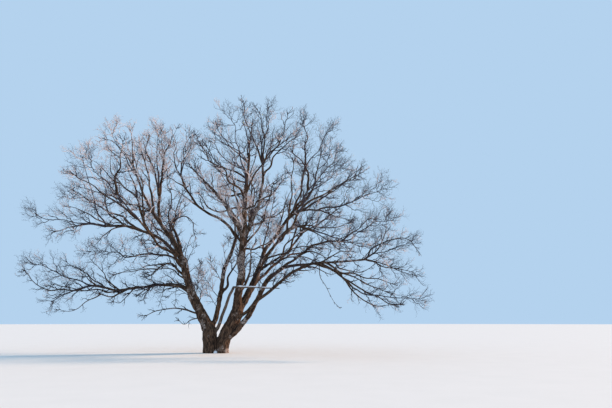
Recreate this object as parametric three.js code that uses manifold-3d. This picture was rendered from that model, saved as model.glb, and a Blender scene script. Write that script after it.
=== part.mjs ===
// Bare winter elm: an old, wide tree whose two trunks have grown together at the foot.
// Sizes are in millimetres, +Z is up, and the origin lies in the flat cut at ground level.
// Every limb runs from a point on the limb that carries it to a tip at a named place.
// The crown is made of masses of twigs, each branching by one seeded rule from one stem.

import * as THREE from 'three';
import { mergeVertices } from 'three/addons/utils/BufferGeometryUtils.js';
import Module from 'manifold-3d';

const wasm = await Module();
wasm.setup();

// Gaps and clearances
const JOINT_GAP = 0.3; // between the cut end of a collar and the foot of the limb it carries
const LIMB_CLEARANCE = 25; // air between a limb and its neighbours beyond the collars
const TWIG_CLEARANCE = 30; // air between a twig and everything outside its own mass
const SPACE_MARGIN = 40; // a twig stays this much nearer to its own stem than to any other

// Tubes
const STEP = 1250; // length of one straight stretch of a limb
const TRUNK_STEP = 360; // and of a trunk
const STEM_THICKNESS = 380; // a limb at least this thick at its foot has more sides
const STEM_SIDES = 8;
const BOUGH_SIDES = 6;
const TWIG_STEM_SIDES = 4;
const TWIG_SIDES = 3;
const SHORTEST = 120; // shortest stretch beside a cut
const WANDER = 0.016; // sideways wander of a limb, as a share of its length
const FEWEST_STRETCHES = 3; // of a short limb
const TURN = 0.65; // how far a limb has turned to its tip where it leaves its carrier
const COLLAR_SWELL = 0.3; // extra thickness of a limb where it leaves its carrier
const COLLAR_STRIDE = 20; // step of the search for the end of a collar
const LONGEST_COLLAR = 6; // as a multiple of the carrier's thickness

// Trunk
const TRUNK_SIDES = 12;
const FLARE = 0.1; // extra girth at the ground
const FLARE_HEIGHT = 450; // height over which the flare dies away
const LOBE = 0.07; // depth of the root lobes at the ground, as a share of the radius
const LOBES = 5;

// Twigs of a mass
const TWIGS_PER_MASS = 5;
const SIDE_TWIGS = 2; // on each twig
const FIRST_TWIG = 0.14; // share of the stem's length below which it is bare
const LAST_TWIG = 0.95;
const COLLAR_TO_TWIG = 1.5; // from a stem's collar to its first twig, in thicknesses
const TWIG_ANGLE = [34, 62]; // between a twig and what carries it, in degrees
const GOLDEN_ANGLE = 137.5; // turn round the stem from one twig to the next
const ROLL_SPREAD = 60; // and how much that varies
const TWIG_LENGTH = [1.15, 0.6]; // at the stem's foot and tip, as a share of the mass's reach
const LENGTH_SPREAD = [0.85, 1.1];
const TWIG_LIFT = 0.22; // how much a twig bends towards the sky
const TWIG_THICKNESS = 0.62; // share of the thickness of what carries it
const SIDE_TWIG_LENGTH = [0.55, 0.4]; // of the two side twigs, as a share of the twig's length
const SIDE_TWIG_PLACE = [0.8, 0.4]; // in the first and in the second half of the twig
const LOWEST_TWIG = 1500; // height below which no twig hangs

// The two trunks, from the ground to their forks
const TRUNKS = [
  { name: 'left_trunk', foot: [-335, 0, 0], tip: [-440, 0, 1450], end: 96, bow: [20, 0, 0],
    thick: [1000, 960] },
  { name: 'right_trunk', foot: [410, 0, 0], tip: [1380, 0, 2620], end: 72, bow: [-60, 0, 0],
    thick: [880, 900] },
];

// Limbs: the limb that carries each one, the share of its length where this one leaves it,
// the place of the tip, the pitch there in degrees, the bow of the middle, and the thickness
// at the foot and at the tip. Four leave their carrier at a pitch of their own.
const LIMBS = [
  { name: 'left_stem', from: 'left_trunk', at: 1, tip: [-2400, 0, 6200], end: 68,
    bow: [-360, 0, 0], thick: [740, 520] },
  { name: 'inner_left_stem', from: 'left_trunk', at: 0.5, tip: [1150, 500, 7900], end: 62,
    bow: [220, 0, 0], thick: [390, 230] },
  { name: 'dead_stem', from: 'left_trunk', at: 0.6, leave: 52, tip: [1200, -800, 4300],
    end: 56, bow: [60, -60, 0], thick: [250, 170] },
  { name: 'dead_limb', from: 'dead_stem', at: 1, leave: 4, tip: [4250, -1000, 4220],
    end: -4, bow: [0, 0, -20], thick: [125, 60] },
  { name: 'central_stem', from: 'right_trunk', at: 1, tip: [1750, 0, 7700], end: 88,
    bow: [-150, 0, 0], thick: [600, 480] },
  { name: 'right_stem', from: 'right_trunk', at: 1, tip: [2850, 1500, 6200], end: 72,
    bow: [0, 0, 0], thick: [540, 400] },
  { name: 'outer_right_stem', from: 'right_trunk', at: 0.25, leave: 10, tip: [4500, -1000, 5600],
    end: 36, bow: [-180, 0, 200], thick: [430, 270] },
  { name: 'front_bough', from: 'right_trunk', at: 0.72, tip: [6400, -4000, 5600], end: 14,
    bow: [0, 0, -200], thick: [230, 165] },
  { name: 'front_bough_outer', from: 'front_bough', at: 1, tip: [8800, -5500, 4000], end: -38,
    bow: [0, 0, 260], thick: [150, 100] },

  { name: 'low_left_bough', from: 'left_stem', at: 0.54, leave: 62, tip: [-7600, -2800, 4300], end: 6,
    bow: [0, 0, -300], thick: [230, 120] },
  { name: 'back_left_low_bough', from: 'left_stem', at: 0.93, tip: [-6400, 2200, 6700], end: 2,
    bow: [0, 0, 150], thick: [160, 100] },
  { name: 'left_bough', from: 'left_stem', at: 1, tip: [-7000, -2600, 8150], end: -2,
    bow: [0, 0, 340], thick: [250, 130] },
  { name: 'high_left_bough', from: 'left_stem', at: 1, tip: [-4450, 500, 11400], end: 86,
    bow: [-420, 0, 0], thick: [320, 150] },
  { name: 'outer_left_bough', from: 'high_left_bough', at: 0.45, tip: [-5500, -1400, 11800], end: 70,
    bow: [0, 0, 0], thick: [220, 130] },
  { name: 'far_left_bough', from: 'high_left_bough', at: 0.58, tip: [-7000, 1500, 10400], end: 14,
    bow: [0, 0, 120], thick: [150, 95] },
  { name: 'left_front_bough', from: 'left_stem', at: 0.85, tip: [-4200, -5200, 8200], end: 32,
    bow: [0, 0, -150], thick: [200, 120] },
  { name: 'left_back_bough', from: 'left_stem', at: 0.76, tip: [-4600, 5600, 8800], end: 36,
    bow: [0, 0, -150], thick: [240, 130] },
  { name: 'inner_left_bough', from: 'inner_left_stem', at: 1, tip: [-2600, -1000, 12000], end: 80,
    bow: [-150, 0, -120], thick: [210, 120] },

  { name: 'top_bough', from: 'central_stem', at: 1, tip: [1900, 800, 13200], end: 84,
    bow: [-150, 0, 0], thick: [300, 140] },
  { name: 'top_right_bough', from: 'central_stem', at: 1, tip: [3000, -500, 12900], end: 80,
    bow: [320, 0, 0], thick: [280, 140] },
  { name: 'centre_front_bough', from: 'central_stem', at: 0.8, tip: [2200, -3800, 10600], end: 58,
    bow: [0, 0, -200], thick: [230, 130] },
  { name: 'centre_back_bough', from: 'central_stem', at: 0.7, tip: [1900, 4200, 10200], end: 52,
    bow: [0, 0, -200], thick: [240, 130] },

  { name: 'high_right_bough', from: 'right_stem', at: 1, tip: [6100, 3000, 11100], end: 44,
    bow: [-180, 0, 0], thick: [310, 150] },
  { name: 'inner_right_bough', from: 'high_right_bough', at: 0.6, tip: [5900, 300, 12600], end: 80,
    bow: [100, 0, -100], thick: [180, 110] },
  { name: 'right_bough', from: 'high_right_bough', at: 0.7, tip: [8000, -700, 9750], end: 2,
    bow: [0, 0, -60], thick: [150, 95] },
  { name: 'arching_bough', from: 'right_stem', at: 1, tip: [6600, -2300, 7900], end: -14,
    bow: [0, 0, 380], thick: [210, 110] },
  { name: 'back_right_bough', from: 'right_stem', at: 0.5, tip: [5600, 5000, 8600], end: 46,
    bow: [0, 0, -150], thick: [230, 130] },
  { name: 'right_front_bough', from: 'right_stem', at: 0.86, tip: [5600, -5400, 8600], end: 34,
    bow: [0, 0, -100], thick: [220, 130] },
  { name: 'level_right_bough', from: 'outer_right_stem', at: 1, tip: [8500, 1000, 7600], end: 8,
    bow: [0, 0, 260], thick: [180, 100] },
  { name: 'low_right_bough', from: 'outer_right_stem', at: 1, tip: [9900, -1500, 6100], end: 10,
    bow: [0, 0, 60], thick: [200, 105] },
];

// Masses of twigs: as for the limbs, with the reach of the twigs round the stem
const MASSES = [
  { name: 'twigs_low_left', from: 'low_left_bough', tip: [-11500, -3000, 5700], end: 12, reach: 1700 },
  { name: 'twigs_bottom_left', from: 'low_left_bough', tip: [-9300, -4600, 3200], end: -20, reach: 1500 },
  { name: 'twigs_left', from: 'left_bough', tip: [-10700, -4600, 8500], end: 4, reach: 1900 },
  { name: 'twigs_upper_left', from: 'left_bough', tip: [-8400, -3800, 12500], end: 60, reach: 2300 },
  { name: 'twigs_far_left', from: 'far_left_bough', tip: [-12400, 3400, 11400], end: 12, reach: 2200 },
  { name: 'twigs_back_left', from: 'back_left_low_bough', tip: [-10700, 4600, 7300], end: 0, reach: 1900 },
  { name: 'twigs_outer_left', from: 'outer_left_bough', tip: [-7000, -2600, 14500], end: 66, reach: 2200 },
  { name: 'twigs_high_left', from: 'high_left_bough', tip: [-4800, 1000, 15500], end: 80, reach: 2200 },
  { name: 'twigs_inner_left', from: 'inner_left_bough', tip: [-2000, -1200, 14700], end: 74, reach: 1700 },
  { name: 'twigs_left_front', from: 'left_front_bough', tip: [-5800, -9400, 10600], end: 24, reach: 2300 },
  { name: 'twigs_left_back', from: 'left_back_bough', tip: [-6800, 9800, 11400], end: 24, reach: 2400 },
  { name: 'twigs_centre_left', from: 'central_stem', tip: [-1800, -2600, 12400], end: 30, reach: 1900 },
  { name: 'twigs_top', from: 'top_bough', tip: [1500, 800, 17500], end: 86, reach: 2000 },
  { name: 'twigs_top_left', from: 'top_bough', tip: [-1000, 2500, 16100], end: 50, reach: 2000 },
  { name: 'twigs_top_right', from: 'top_right_bough', tip: [3400, -900, 16900], end: 82, reach: 1900 },
  { name: 'twigs_top_far_right', from: 'top_right_bough', tip: [5900, 900, 16700], end: 68, reach: 2000 },
  { name: 'twigs_centre_front', from: 'centre_front_bough', tip: [1600, -7200, 13800], end: 40, reach: 2300 },
  { name: 'twigs_centre_back', from: 'centre_back_bough', tip: [1200, 8000, 14300], end: 44, reach: 2400 },
  { name: 'twigs_low_back', from: 'centre_back_bough', tip: [3000, 9800, 9400], end: -6, reach: 2200 },
  { name: 'twigs_high_right', from: 'high_right_bough', tip: [9000, 4300, 14100], end: 36, reach: 2300 },
  { name: 'twigs_inner_right', from: 'inner_right_bough', tip: [7500, -1000, 15000], end: 60, reach: 2100 },
  { name: 'twigs_right', from: 'right_bough', tip: [11000, -2700, 10600], end: 22, reach: 2200 },
  { name: 'twigs_arching', from: 'arching_bough', tip: [9500, -5000, 6500], end: -32, reach: 1700 },
  { name: 'twigs_back_right', from: 'back_right_bough', tip: [8000, 8100, 11200], end: 24, reach: 2400 },
  { name: 'twigs_right_front', from: 'right_front_bough', tip: [7400, -9200, 11100], end: 24, reach: 2300 },
  { name: 'twigs_level_right', from: 'level_right_bough', tip: [12300, 2900, 9700], end: 20, reach: 2100 },
  { name: 'twigs_low_right', from: 'low_right_bough', tip: [13100, -1600, 7300], end: 10, reach: 1700 },
  { name: 'twigs_bottom_right', from: 'low_right_bough', tip: [13300, -2100, 4900], end: -14, reach: 1500 },
  { name: 'twigs_front_right', from: 'front_bough_outer', tip: [12500, -6800, 3300], end: -4, reach: 1500 },
];
const MASS_THICKNESS = [95, 24];
const NO_BOW = [0, 0, 0];

const UP = new THREE.Vector3(0, 0, 1);
const toRadians = THREE.MathUtils.degToRad;

// Seeded random numbers from 0 to 1
function randomFrom(seed) {
  let state = Math.imul(seed + 1, 2654435761) >>> 0;
  return () => {
    state = (Math.imul(state, 1664525) + 1013904223) >>> 0;
    return state / 4294967296;
  };
}

function mix(a, b, share) {
  return a + (b - a) * share;
}

function pitched(heading, pitch) {
  const flat = Math.cos(pitch);
  return new THREE.Vector3(flat * Math.cos(heading), flat * Math.sin(heading), Math.sin(pitch));
}

// Points from foot to tip: a smooth curve that leaves and arrives in given directions
function curvePoints(foot, leave, tip, arrive, bow, wander, steps, random) {
  const points = [];
  const pull = foot.distanceTo(tip);
  for (let i = 0; i <= steps; i += 1) {
    const t = i / steps;
    const point = new THREE.Vector3()
      .addScaledVector(foot, 1 - 3 * t * t + 2 * t * t * t)
      .addScaledVector(leave, pull * t * (1 - t) * (1 - t))
      .addScaledVector(tip, 3 * t * t - 2 * t * t * t)
      .addScaledVector(arrive, pull * t * t * (t - 1))
      .addScaledVector(bow, 4 * t * (1 - t));
    const stray = i === 0 || i === steps ? 0 : wander;
    point.x += stray * (random() * 2 - 1);
    point.y += stray * (random() * 2 - 1);
    point.z += stray * (random() * 2 - 1);
    points.push(point);
  }
  return points;
}

// A line of points with the distance along it at each point
function lineOf(points) {
  const along = [0];
  for (let i = 1; i < points.length; i += 1) {
    along.push(along[i - 1] + points[i].distanceTo(points[i - 1]));
  }
  return { points, along, length: along[along.length - 1] };
}

function stretchAt(line, distance) {
  let i = 1;
  while (i < line.along.length - 1 && line.along[i] < distance) i += 1;
  return i;
}

function pointAt(line, distance) {
  const i = stretchAt(line, distance);
  const share = (distance - line.along[i - 1]) / (line.along[i] - line.along[i - 1]);
  return line.points[i - 1].clone().lerp(line.points[i], share);
}

function directionAt(line, distance) {
  const i = stretchAt(line, distance);
  return line.points[i].clone().sub(line.points[i - 1]).normalize();
}

// Shortest distance between the straight stretches a to b and c to d
function stretchDistance(a, b, c, d) {
  const u = b.clone().sub(a);
  const v = d.clone().sub(c);
  const w = a.clone().sub(c);
  const uu = u.dot(u);
  const uv = u.dot(v);
  const vv = v.dot(v);
  const uw = u.dot(w);
  const vw = v.dot(w);
  const spread = uu * vv - uv * uv;
  const clamp = (x) => Math.min(1, Math.max(0, x));
  let s = spread > 1e-6 ? clamp((uv * vw - vv * uw) / spread) : 0;
  const t = clamp((uv * s + vw) / vv);
  s = clamp((uv * t - uw) / uu);
  return w.addScaledVector(u, s).addScaledVector(v, -t).length();
}

function distanceToLine(point, line) {
  let nearest = Infinity;
  const target = new THREE.Vector3();
  for (let i = 1; i < line.points.length; i += 1) {
    new THREE.Line3(line.points[i - 1], line.points[i]).closestPointToPoint(point, true, target);
    nearest = Math.min(nearest, target.distanceTo(point));
  }
  return nearest;
}

// Radius of a limb at a distance along it: an even taper with a swollen collar at the foot
function radiusAt(limb, distance) {
  const share = distance / limb.line.length;
  const swell = COLLAR_SWELL * Math.exp(-distance / limb.thick[0]);
  return 0.5 * mix(limb.thick[0], limb.thick[1], share) * (1 + swell);
}

// A limb's line from its carrier: unless it has a pitch of its own, it leaves in a direction
// between the carrier's and that of its tip
function growLimb(spec, carrier, seed) {
  const where = carrier.line.length * (spec.at ?? 1);
  const foot = pointAt(carrier.line, where);
  const tip = new THREE.Vector3(...spec.tip);
  const chord = tip.clone().sub(foot);
  const heading = Math.atan2(chord.y, chord.x);
  const leave = spec.leave === undefined
    ? directionAt(carrier.line, where).lerp(chord.clone().normalize(), TURN).normalize()
    : pitched(heading, toRadians(spec.leave));
  const arrive = pitched(heading, toRadians(spec.end));
  const bow = new THREE.Vector3(...(spec.bow ?? NO_BOW));
  const steps = Math.max(FEWEST_STRETCHES, Math.round(chord.length() / STEP));
  const wander = WANDER * chord.length();
  const points = curvePoints(foot, leave, tip, arrive, bow, wander, steps, randomFrom(seed));
  const thick = spec.thick ?? MASS_THICKNESS;
  return { ...spec, thick, carrier, seed, line: lineOf(points), cut: 0, children: [] };
}

function growTrunk(spec, seed) {
  const foot = new THREE.Vector3(...spec.foot);
  const tip = new THREE.Vector3(...spec.tip);
  const chord = tip.clone().sub(foot);
  const arrive = pitched(Math.atan2(chord.y, chord.x), toRadians(spec.end));
  const bow = new THREE.Vector3(...spec.bow);
  const steps = Math.round(chord.length() / TRUNK_STEP);
  const points = curvePoints(foot, UP, tip, arrive, bow, 0, steps, randomFrom(seed));
  return { ...spec, seed, line: lineOf(points), cut: 0, children: [] };
}

// Limbs and masses in the order of their tables, each on its carrier
function growSkeleton() {
  const grown = new Map();
  const trunks = TRUNKS.map((spec, i) => growTrunk(spec, i));
  trunks.forEach((trunk) => grown.set(trunk.name, trunk));
  [...LIMBS, ...MASSES].forEach((spec, i) => {
    const carrier = grown.get(spec.from);
    const limb = growLimb(spec, carrier, i + TRUNKS.length);
    carrier.children.push(limb);
    grown.set(limb.name, limb);
  });
  return grown;
}

// Distance along a limb beyond which it stays clear of another limb
function clearOf(limb, other) {
  const search = Math.min(limb.line.length, LONGEST_COLLAR * limb.carrier.thick[0]);
  let clear = 0;
  for (let distance = 0; distance < search; distance += COLLAR_STRIDE) {
    const point = pointAt(limb.line, distance);
    const gap = distanceToLine(point, other.line);
    if (gap < thickestNear(other, point) + radiusAt(limb, distance) + LIMB_CLEARANCE) {
      clear = distance + COLLAR_STRIDE;
    }
  }
  return clear;
}

// Largest radius of a limb within reach of a point
function thickestNear(limb, point) {
  let nearest = Infinity;
  let radius = 0;
  limb.line.points.forEach((place, i) => {
    const distance = place.distanceTo(point);
    if (distance < nearest) {
      nearest = distance;
      radius = radiusAt(limb, limb.line.along[Math.max(0, i - 1)]);
    }
  });
  return radius;
}

// A cut lies in a straight stretch, so that the two faces there are parallel
function awayFromBends(line, distance) {
  const bend = line.along.find((place, i) => i > 0 && Math.abs(place - distance) < SHORTEST);
  return bend === undefined ? distance : bend + SHORTEST;
}

// A collar reaches from the carrier's axis to where its limb is clear of all its neighbours:
// the carrier and its other limbs, and the same of both trunks where these fuse
function cutCollars(skeleton) {
  const trunks = TRUNKS.map(({ name }) => skeleton.get(name));
  for (const limb of skeleton.values()) {
    if (!limb.carrier) continue;
    const carriers = trunks.includes(limb.carrier) ? trunks : [limb.carrier];
    const neighbours = carriers.flatMap((carrier) => [carrier, ...carrier.children]);
    const clear = neighbours.map((other) => (other === limb ? 0 : clearOf(limb, other)));
    limb.cut = awayFromBends(limb.line, Math.max(...clear));
  }
}

// Closed tube round a line of points; a last radius of 0 ends it in a point, and the foot is
// cut square to the first stretch or to a direction of its own
function tube(points, radii, sides, shape = () => 1, start = null) {
  const positions = [];
  const index = [];
  const side = new THREE.Vector3();
  const across = new THREE.Vector3();
  const pointed = radii[radii.length - 1] === 0;
  const rings = pointed ? points.length - 1 : points.length;
  let previous = null;
  for (let i = 0; i < rings; i += 1) {
    const before = points[Math.max(0, i - 1)];
    const after = points[Math.min(points.length - 1, i + 1)];
    const along = i === 0 && start ? start.clone() : after.clone().sub(before).normalize();
    if (previous === null) {
      side.set(1, 0, 0);
      if (Math.abs(along.x) > 0.8) side.set(0, 1, 0);
    } else {
      side.copy(previous);
    }
    side.addScaledVector(along, -side.dot(along)).normalize();
    previous = side.clone();
    across.crossVectors(along, side);
    for (let k = 0; k < sides; k += 1) {
      const angle = (2 * Math.PI * k) / sides;
      const radius = radii[i] * shape(i, angle);
      const corner = points[i].clone()
        .addScaledVector(side, radius * Math.cos(angle))
        .addScaledVector(across, radius * Math.sin(angle));
      positions.push(corner.x, corner.y, corner.z);
    }
  }
  for (let i = 1; i < rings; i += 1) {
    for (let k = 0; k < sides; k += 1) {
      const a = (i - 1) * sides + k;
      const b = (i - 1) * sides + ((k + 1) % sides);
      index.push(a, b, a + sides, b, b + sides, a + sides);
    }
  }
  const last = (rings - 1) * sides;
  for (let k = 1; k < sides - 1; k += 1) index.push(0, k + 1, k);
  if (pointed) {
    const tip = points[points.length - 1];
    positions.push(tip.x, tip.y, tip.z);
    for (let k = 0; k < sides; k += 1) index.push(last + k, last + ((k + 1) % sides), rings * sides);
  } else {
    for (let k = 1; k < sides - 1; k += 1) index.push(last, last + k, last + k + 1);
  }
  const geometry = new THREE.BufferGeometry();
  geometry.setAttribute('position', new THREE.Float32BufferAttribute(positions, 3));
  geometry.setIndex(index);
  return geometry;
}

function solidOf(geometry) {
  const merged = mergeVertices(geometry, 1e-3);
  const mesh = new wasm.Mesh({
    numProp: 3,
    vertProperties: new Float32Array(merged.attributes.position.array),
    triVerts: new Uint32Array(merged.index.array),
  });
  return new wasm.Manifold(mesh);
}

// The stretch of a limb between two distances, as points and radii
function stretchOf(limb, from, to) {
  const points = [pointAt(limb.line, from)];
  const radii = [radiusAt(limb, from)];
  limb.line.points.forEach((point, i) => {
    const distance = limb.line.along[i];
    if (distance > from + SHORTEST / 2 && distance < to - SHORTEST / 2) {
      points.push(point);
      radii.push(radiusAt(limb, distance));
    }
  });
  points.push(pointAt(limb.line, to));
  radii.push(radiusAt(limb, to));
  return { points, radii };
}

function sidesOf(limb) {
  if (limb.reach) return TWIG_STEM_SIDES;
  return limb.thick[0] >= STEM_THICKNESS ? STEM_SIDES : BOUGH_SIDES;
}

// A collar: the first stretch of a limb, cut square where the limb's own solid begins
function collar(limb) {
  const { points, radii } = stretchOf(limb, 0, limb.cut);
  return solidOf(tube(points, radii, Math.max(BOUGH_SIDES, sidesOf(limb))));
}

// A limb from its collar to its tip, with the collars of the limbs that it carries
function limbSolid(limb) {
  const { points, radii } = stretchOf(limb, limb.cut + JOINT_GAP, limb.line.length);
  let solid = solidOf(tube(points, radii, sidesOf(limb)));
  limb.children.forEach((child) => {
    solid = solid.add(collar(child));
  });
  return solid;
}

// A trunk from its level cut at the ground, with root lobes and a flare that die away above it
function trunkSolid(trunk) {
  const radii = trunk.line.points.map((point, i) => {
    const share = trunk.line.along[i] / trunk.line.length;
    const flare = FLARE * Math.exp(-point.z / FLARE_HEIGHT);
    return 0.5 * mix(trunk.thick[0], trunk.thick[1], share) * (1 + flare);
  });
  const lobes = (i, angle) => {
    const fade = Math.exp(-trunk.line.points[i].z / FLARE_HEIGHT);
    return 1 + LOBE * fade * Math.cos(LOBES * angle + trunk.seed);
  };
  return solidOf(tube(trunk.line.points, radii, TRUNK_SIDES, lobes, UP));
}

// A twig bends from its first direction towards the sky, and a side twig is straight
function twigPoints(foot, direction, length, side) {
  if (side) return [foot, foot.clone().addScaledVector(direction, length)];
  const middle = foot.clone().addScaledVector(direction, length * 0.5);
  const bent = direction.clone().addScaledVector(UP, TWIG_LIFT).normalize();
  return [foot, middle, middle.clone().addScaledVector(bent, length * 0.5)];
}

// Direction at an angle to another, turned round it by a roll
function branchOff(direction, angle, roll) {
  const side = new THREE.Vector3().crossVectors(direction, UP);
  if (side.length() < 0.1) side.set(1, 0, 0);
  side.normalize().applyAxisAngle(direction, roll);
  return direction.clone().applyAxisAngle(side, angle).normalize();
}

// True where a twig keeps to its mass's own space and touches nothing outside it
function fits(points, thickness, mass, masses, obstacles) {
  for (let i = 1; i < points.length; i += 1) {
    for (const share of [0.5, 1]) {
      const place = points[i - 1].clone().lerp(points[i], share);
      const own = distanceToLine(place, mass.line);
      if (place.z < LOWEST_TWIG || own > mass.reach) return false;
      for (const other of masses) {
        if (other !== mass && distanceToLine(place, other.line) < own + SPACE_MARGIN) return false;
      }
    }
    for (const block of obstacles) {
      if (block.owner === mass) continue;
      const gap = stretchDistance(points[i - 1], points[i], block.a, block.b);
      if (gap < thickness / 2 + block.radius + TWIG_CLEARANCE) return false;
    }
  }
  return true;
}

// Straight stretches of a limb or twig that later twigs keep clear of
function addObstacles(obstacles, owner, points, radii) {
  for (let i = 1; i < points.length; i += 1) {
    obstacles.push({ owner, a: points[i - 1], b: points[i], radius: Math.max(radii[i - 1], radii[i]) });
  }
}

// One mass: its stem with twigs, and side twigs on them, wherever they fit
function massSolid(mass, masses, obstacles) {
  const random = randomFrom(mass.seed * 7 + 5);
  let solid = limbSolid(mass);
  const place = (foot, direction, length, thickness, side) => {
    const points = twigPoints(foot, direction, length, side);
    if (!fits(points, thickness, mass, masses, obstacles)) return null;
    const radii = side ? [thickness / 2, 0] : [thickness / 2, thickness / 3, 0];
    solid = solid.add(solidOf(tube(points, radii, TWIG_SIDES)));
    addObstacles(obstacles, mass, points, radii);
    return points;
  };
  const bare = (mass.cut + COLLAR_TO_TWIG * mass.thick[0]) / mass.line.length;
  const first = Math.max(FIRST_TWIG, bare);
  for (let k = 0; k < TWIGS_PER_MASS; k += 1) {
    const share = mix(first, LAST_TWIG, k / (TWIGS_PER_MASS - 1));
    const distance = share * mass.line.length;
    const angle = toRadians(mix(...TWIG_ANGLE, random()));
    const roll = toRadians(k * GOLDEN_ANGLE + ROLL_SPREAD * random());
    const direction = branchOff(directionAt(mass.line, distance), angle, roll);
    const length = mass.reach * mix(...TWIG_LENGTH, share) * mix(...LENGTH_SPREAD, random());
    const sideAngles = [random(), random()].map((draw) => toRadians(mix(...TWIG_ANGLE, draw)));
    const sideRolls = [random(), random()].map((draw) => 2 * Math.PI * draw);
    const thickness = 2 * radiusAt(mass, distance) * TWIG_THICKNESS;
    const twig = place(pointAt(mass.line, distance), direction, length, thickness, false);
    if (twig === null) continue;
    for (let j = 0; j < SIDE_TWIGS; j += 1) {
      const foot = twig[j].clone().lerp(twig[j + 1], SIDE_TWIG_PLACE[j]);
      const outward = twig[j + 1].clone().sub(twig[j]).normalize();
      const sideways = branchOff(outward, sideAngles[j], sideRolls[j]);
      place(foot, sideways, length * SIDE_TWIG_LENGTH[j], thickness * TWIG_THICKNESS, true);
    }
  }
  return solid;
}

// Colours and finish
const BARK = { color: 0x5a4a40, roughness: 0.95, metalness: 0 };
const DEAD_WOOD = { color: 0x83766c, roughness: 0.95, metalness: 0 };
const TWIG_BARK = { color: 0x77706c, roughness: 0.9, metalness: 0 };

function meshOf(name, solid, finish) {
  const { vertProperties, triVerts } = solid.getMesh();
  const geometry = new THREE.BufferGeometry();
  geometry.setAttribute('position', new THREE.BufferAttribute(new Float32Array(vertProperties), 3));
  geometry.setIndex(new THREE.BufferAttribute(new Uint32Array(triVerts), 1));
  geometry.computeVertexNormals();
  const mesh = new THREE.Mesh(geometry, new THREE.MeshStandardMaterial(finish));
  mesh.name = name;
  return mesh;
}

function build() {
  const group = new THREE.Group();
  const skeleton = growSkeleton();
  cutCollars(skeleton);

  let trunk = null;
  TRUNKS.forEach(({ name }) => {
    const half = skeleton.get(name);
    trunk = trunk === null ? trunkSolid(half) : trunk.add(trunkSolid(half));
    half.children.forEach((limb) => {
      trunk = trunk.add(collar(limb));
    });
  });
  group.add(meshOf('trunk', trunk, BARK));

  const obstacles = [];
  const masses = MASSES.map(({ name }) => skeleton.get(name));
  for (const limb of skeleton.values()) {
    const radii = limb.line.along.map((distance) => radiusAt(limb, distance));
    addObstacles(obstacles, limb, limb.line.points, radii);
  }
  LIMBS.forEach(({ name }) => {
    const finish = name.startsWith('dead') ? DEAD_WOOD : BARK;
    group.add(meshOf(name, limbSolid(skeleton.get(name)), finish));
  });
  masses.forEach((mass) => {
    group.add(meshOf(mass.name, massSolid(mass, masses, obstacles), TWIG_BARK));
  });
  return group;
}

const group = build();

export default group;
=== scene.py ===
# Bare winter elm: two trunks fused at the foot, forking stems, boughs, and masses of fine twigs.
# Sizes are in metres and angles in degrees, +Z is up, and the origin lies in the flat cut at
# ground level. Limbs and masses grow from the same named sizes and by the same rule as the
# solids do, and the twigs carry that rule on to finer orders within the same reach.

import math

import bmesh
import bpy
import numpy as np
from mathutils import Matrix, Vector


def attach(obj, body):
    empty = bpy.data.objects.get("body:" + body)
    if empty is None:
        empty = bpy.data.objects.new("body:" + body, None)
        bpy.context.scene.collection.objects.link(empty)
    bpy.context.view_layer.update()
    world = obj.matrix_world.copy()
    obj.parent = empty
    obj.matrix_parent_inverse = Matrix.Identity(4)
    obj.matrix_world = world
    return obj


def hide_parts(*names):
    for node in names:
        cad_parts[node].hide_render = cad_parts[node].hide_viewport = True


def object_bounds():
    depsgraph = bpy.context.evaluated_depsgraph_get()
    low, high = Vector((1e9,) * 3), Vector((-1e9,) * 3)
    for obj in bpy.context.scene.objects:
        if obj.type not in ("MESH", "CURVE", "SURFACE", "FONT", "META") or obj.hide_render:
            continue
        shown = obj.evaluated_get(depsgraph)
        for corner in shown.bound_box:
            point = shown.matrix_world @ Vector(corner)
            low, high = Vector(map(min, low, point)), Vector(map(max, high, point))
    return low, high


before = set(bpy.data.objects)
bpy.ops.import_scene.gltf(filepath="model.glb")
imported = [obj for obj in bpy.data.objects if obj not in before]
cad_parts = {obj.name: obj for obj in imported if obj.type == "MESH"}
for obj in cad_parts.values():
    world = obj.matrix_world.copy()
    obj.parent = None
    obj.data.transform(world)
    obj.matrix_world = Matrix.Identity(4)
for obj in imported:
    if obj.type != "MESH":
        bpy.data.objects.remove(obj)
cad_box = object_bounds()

# Limbs, as in the solids
STEP = 1.25  # length of one straight stretch of a limb's line
TRUNK_STEP = 0.36
FEWEST_STRETCHES = 3
WANDER = 0.016  # sideways wander of a limb, as a share of its length
TURN = 0.65  # how far a limb has turned to its tip where it leaves its carrier
COLLAR_SWELL = 0.3  # extra thickness of a limb where it leaves its carrier
FLARE = 0.1  # extra girth of a trunk at the ground
FLARE_HEIGHT = 0.45
LOBE = 0.07  # depth of the root lobes at the ground, as a share of the radius
LOBES = 5

# Twigs, as in the solids
FIRST_TWIG = 0.14  # share of a mass's stem, or of a twig, where its first twig leaves
LAST_TWIG = 0.97
TWIG_ANGLE = (34, 62)
GOLDEN_ANGLE = 137.5
ROLL_SPREAD = 60
TWIG_LENGTH = (1.15, 0.6)  # of the first and the last twig, over the reach
LENGTH_SPREAD = (0.85, 1.1)
TWIG_LIFT = 0.22  # how much a twig bends to the sky
TWIG_THICKNESS = 0.62  # of a twig, over what bears it
LOWEST_TWIG = 1.5
MASS_THICKNESS = (0.095, 0.024)

UP = np.array([0.0, 0.0, 1.0])
NO_BOW = (0.0, 0.0, 0.0)

# The two trunks, from the ground to their forks: foot, tip, pitch at the tip, bow, thickness
TRUNKS = (
    dict(name="left_trunk", foot=(-0.335, 0, 0), tip=(-0.44, 0, 1.45), end=96,
         bow=(0.02, 0, 0), thick=(1.0, 0.96)),
    dict(name="right_trunk", foot=(0.41, 0, 0), tip=(1.38, 0, 2.62), end=72,
         bow=(-0.06, 0, 0), thick=(0.88, 0.9)),
)


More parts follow.
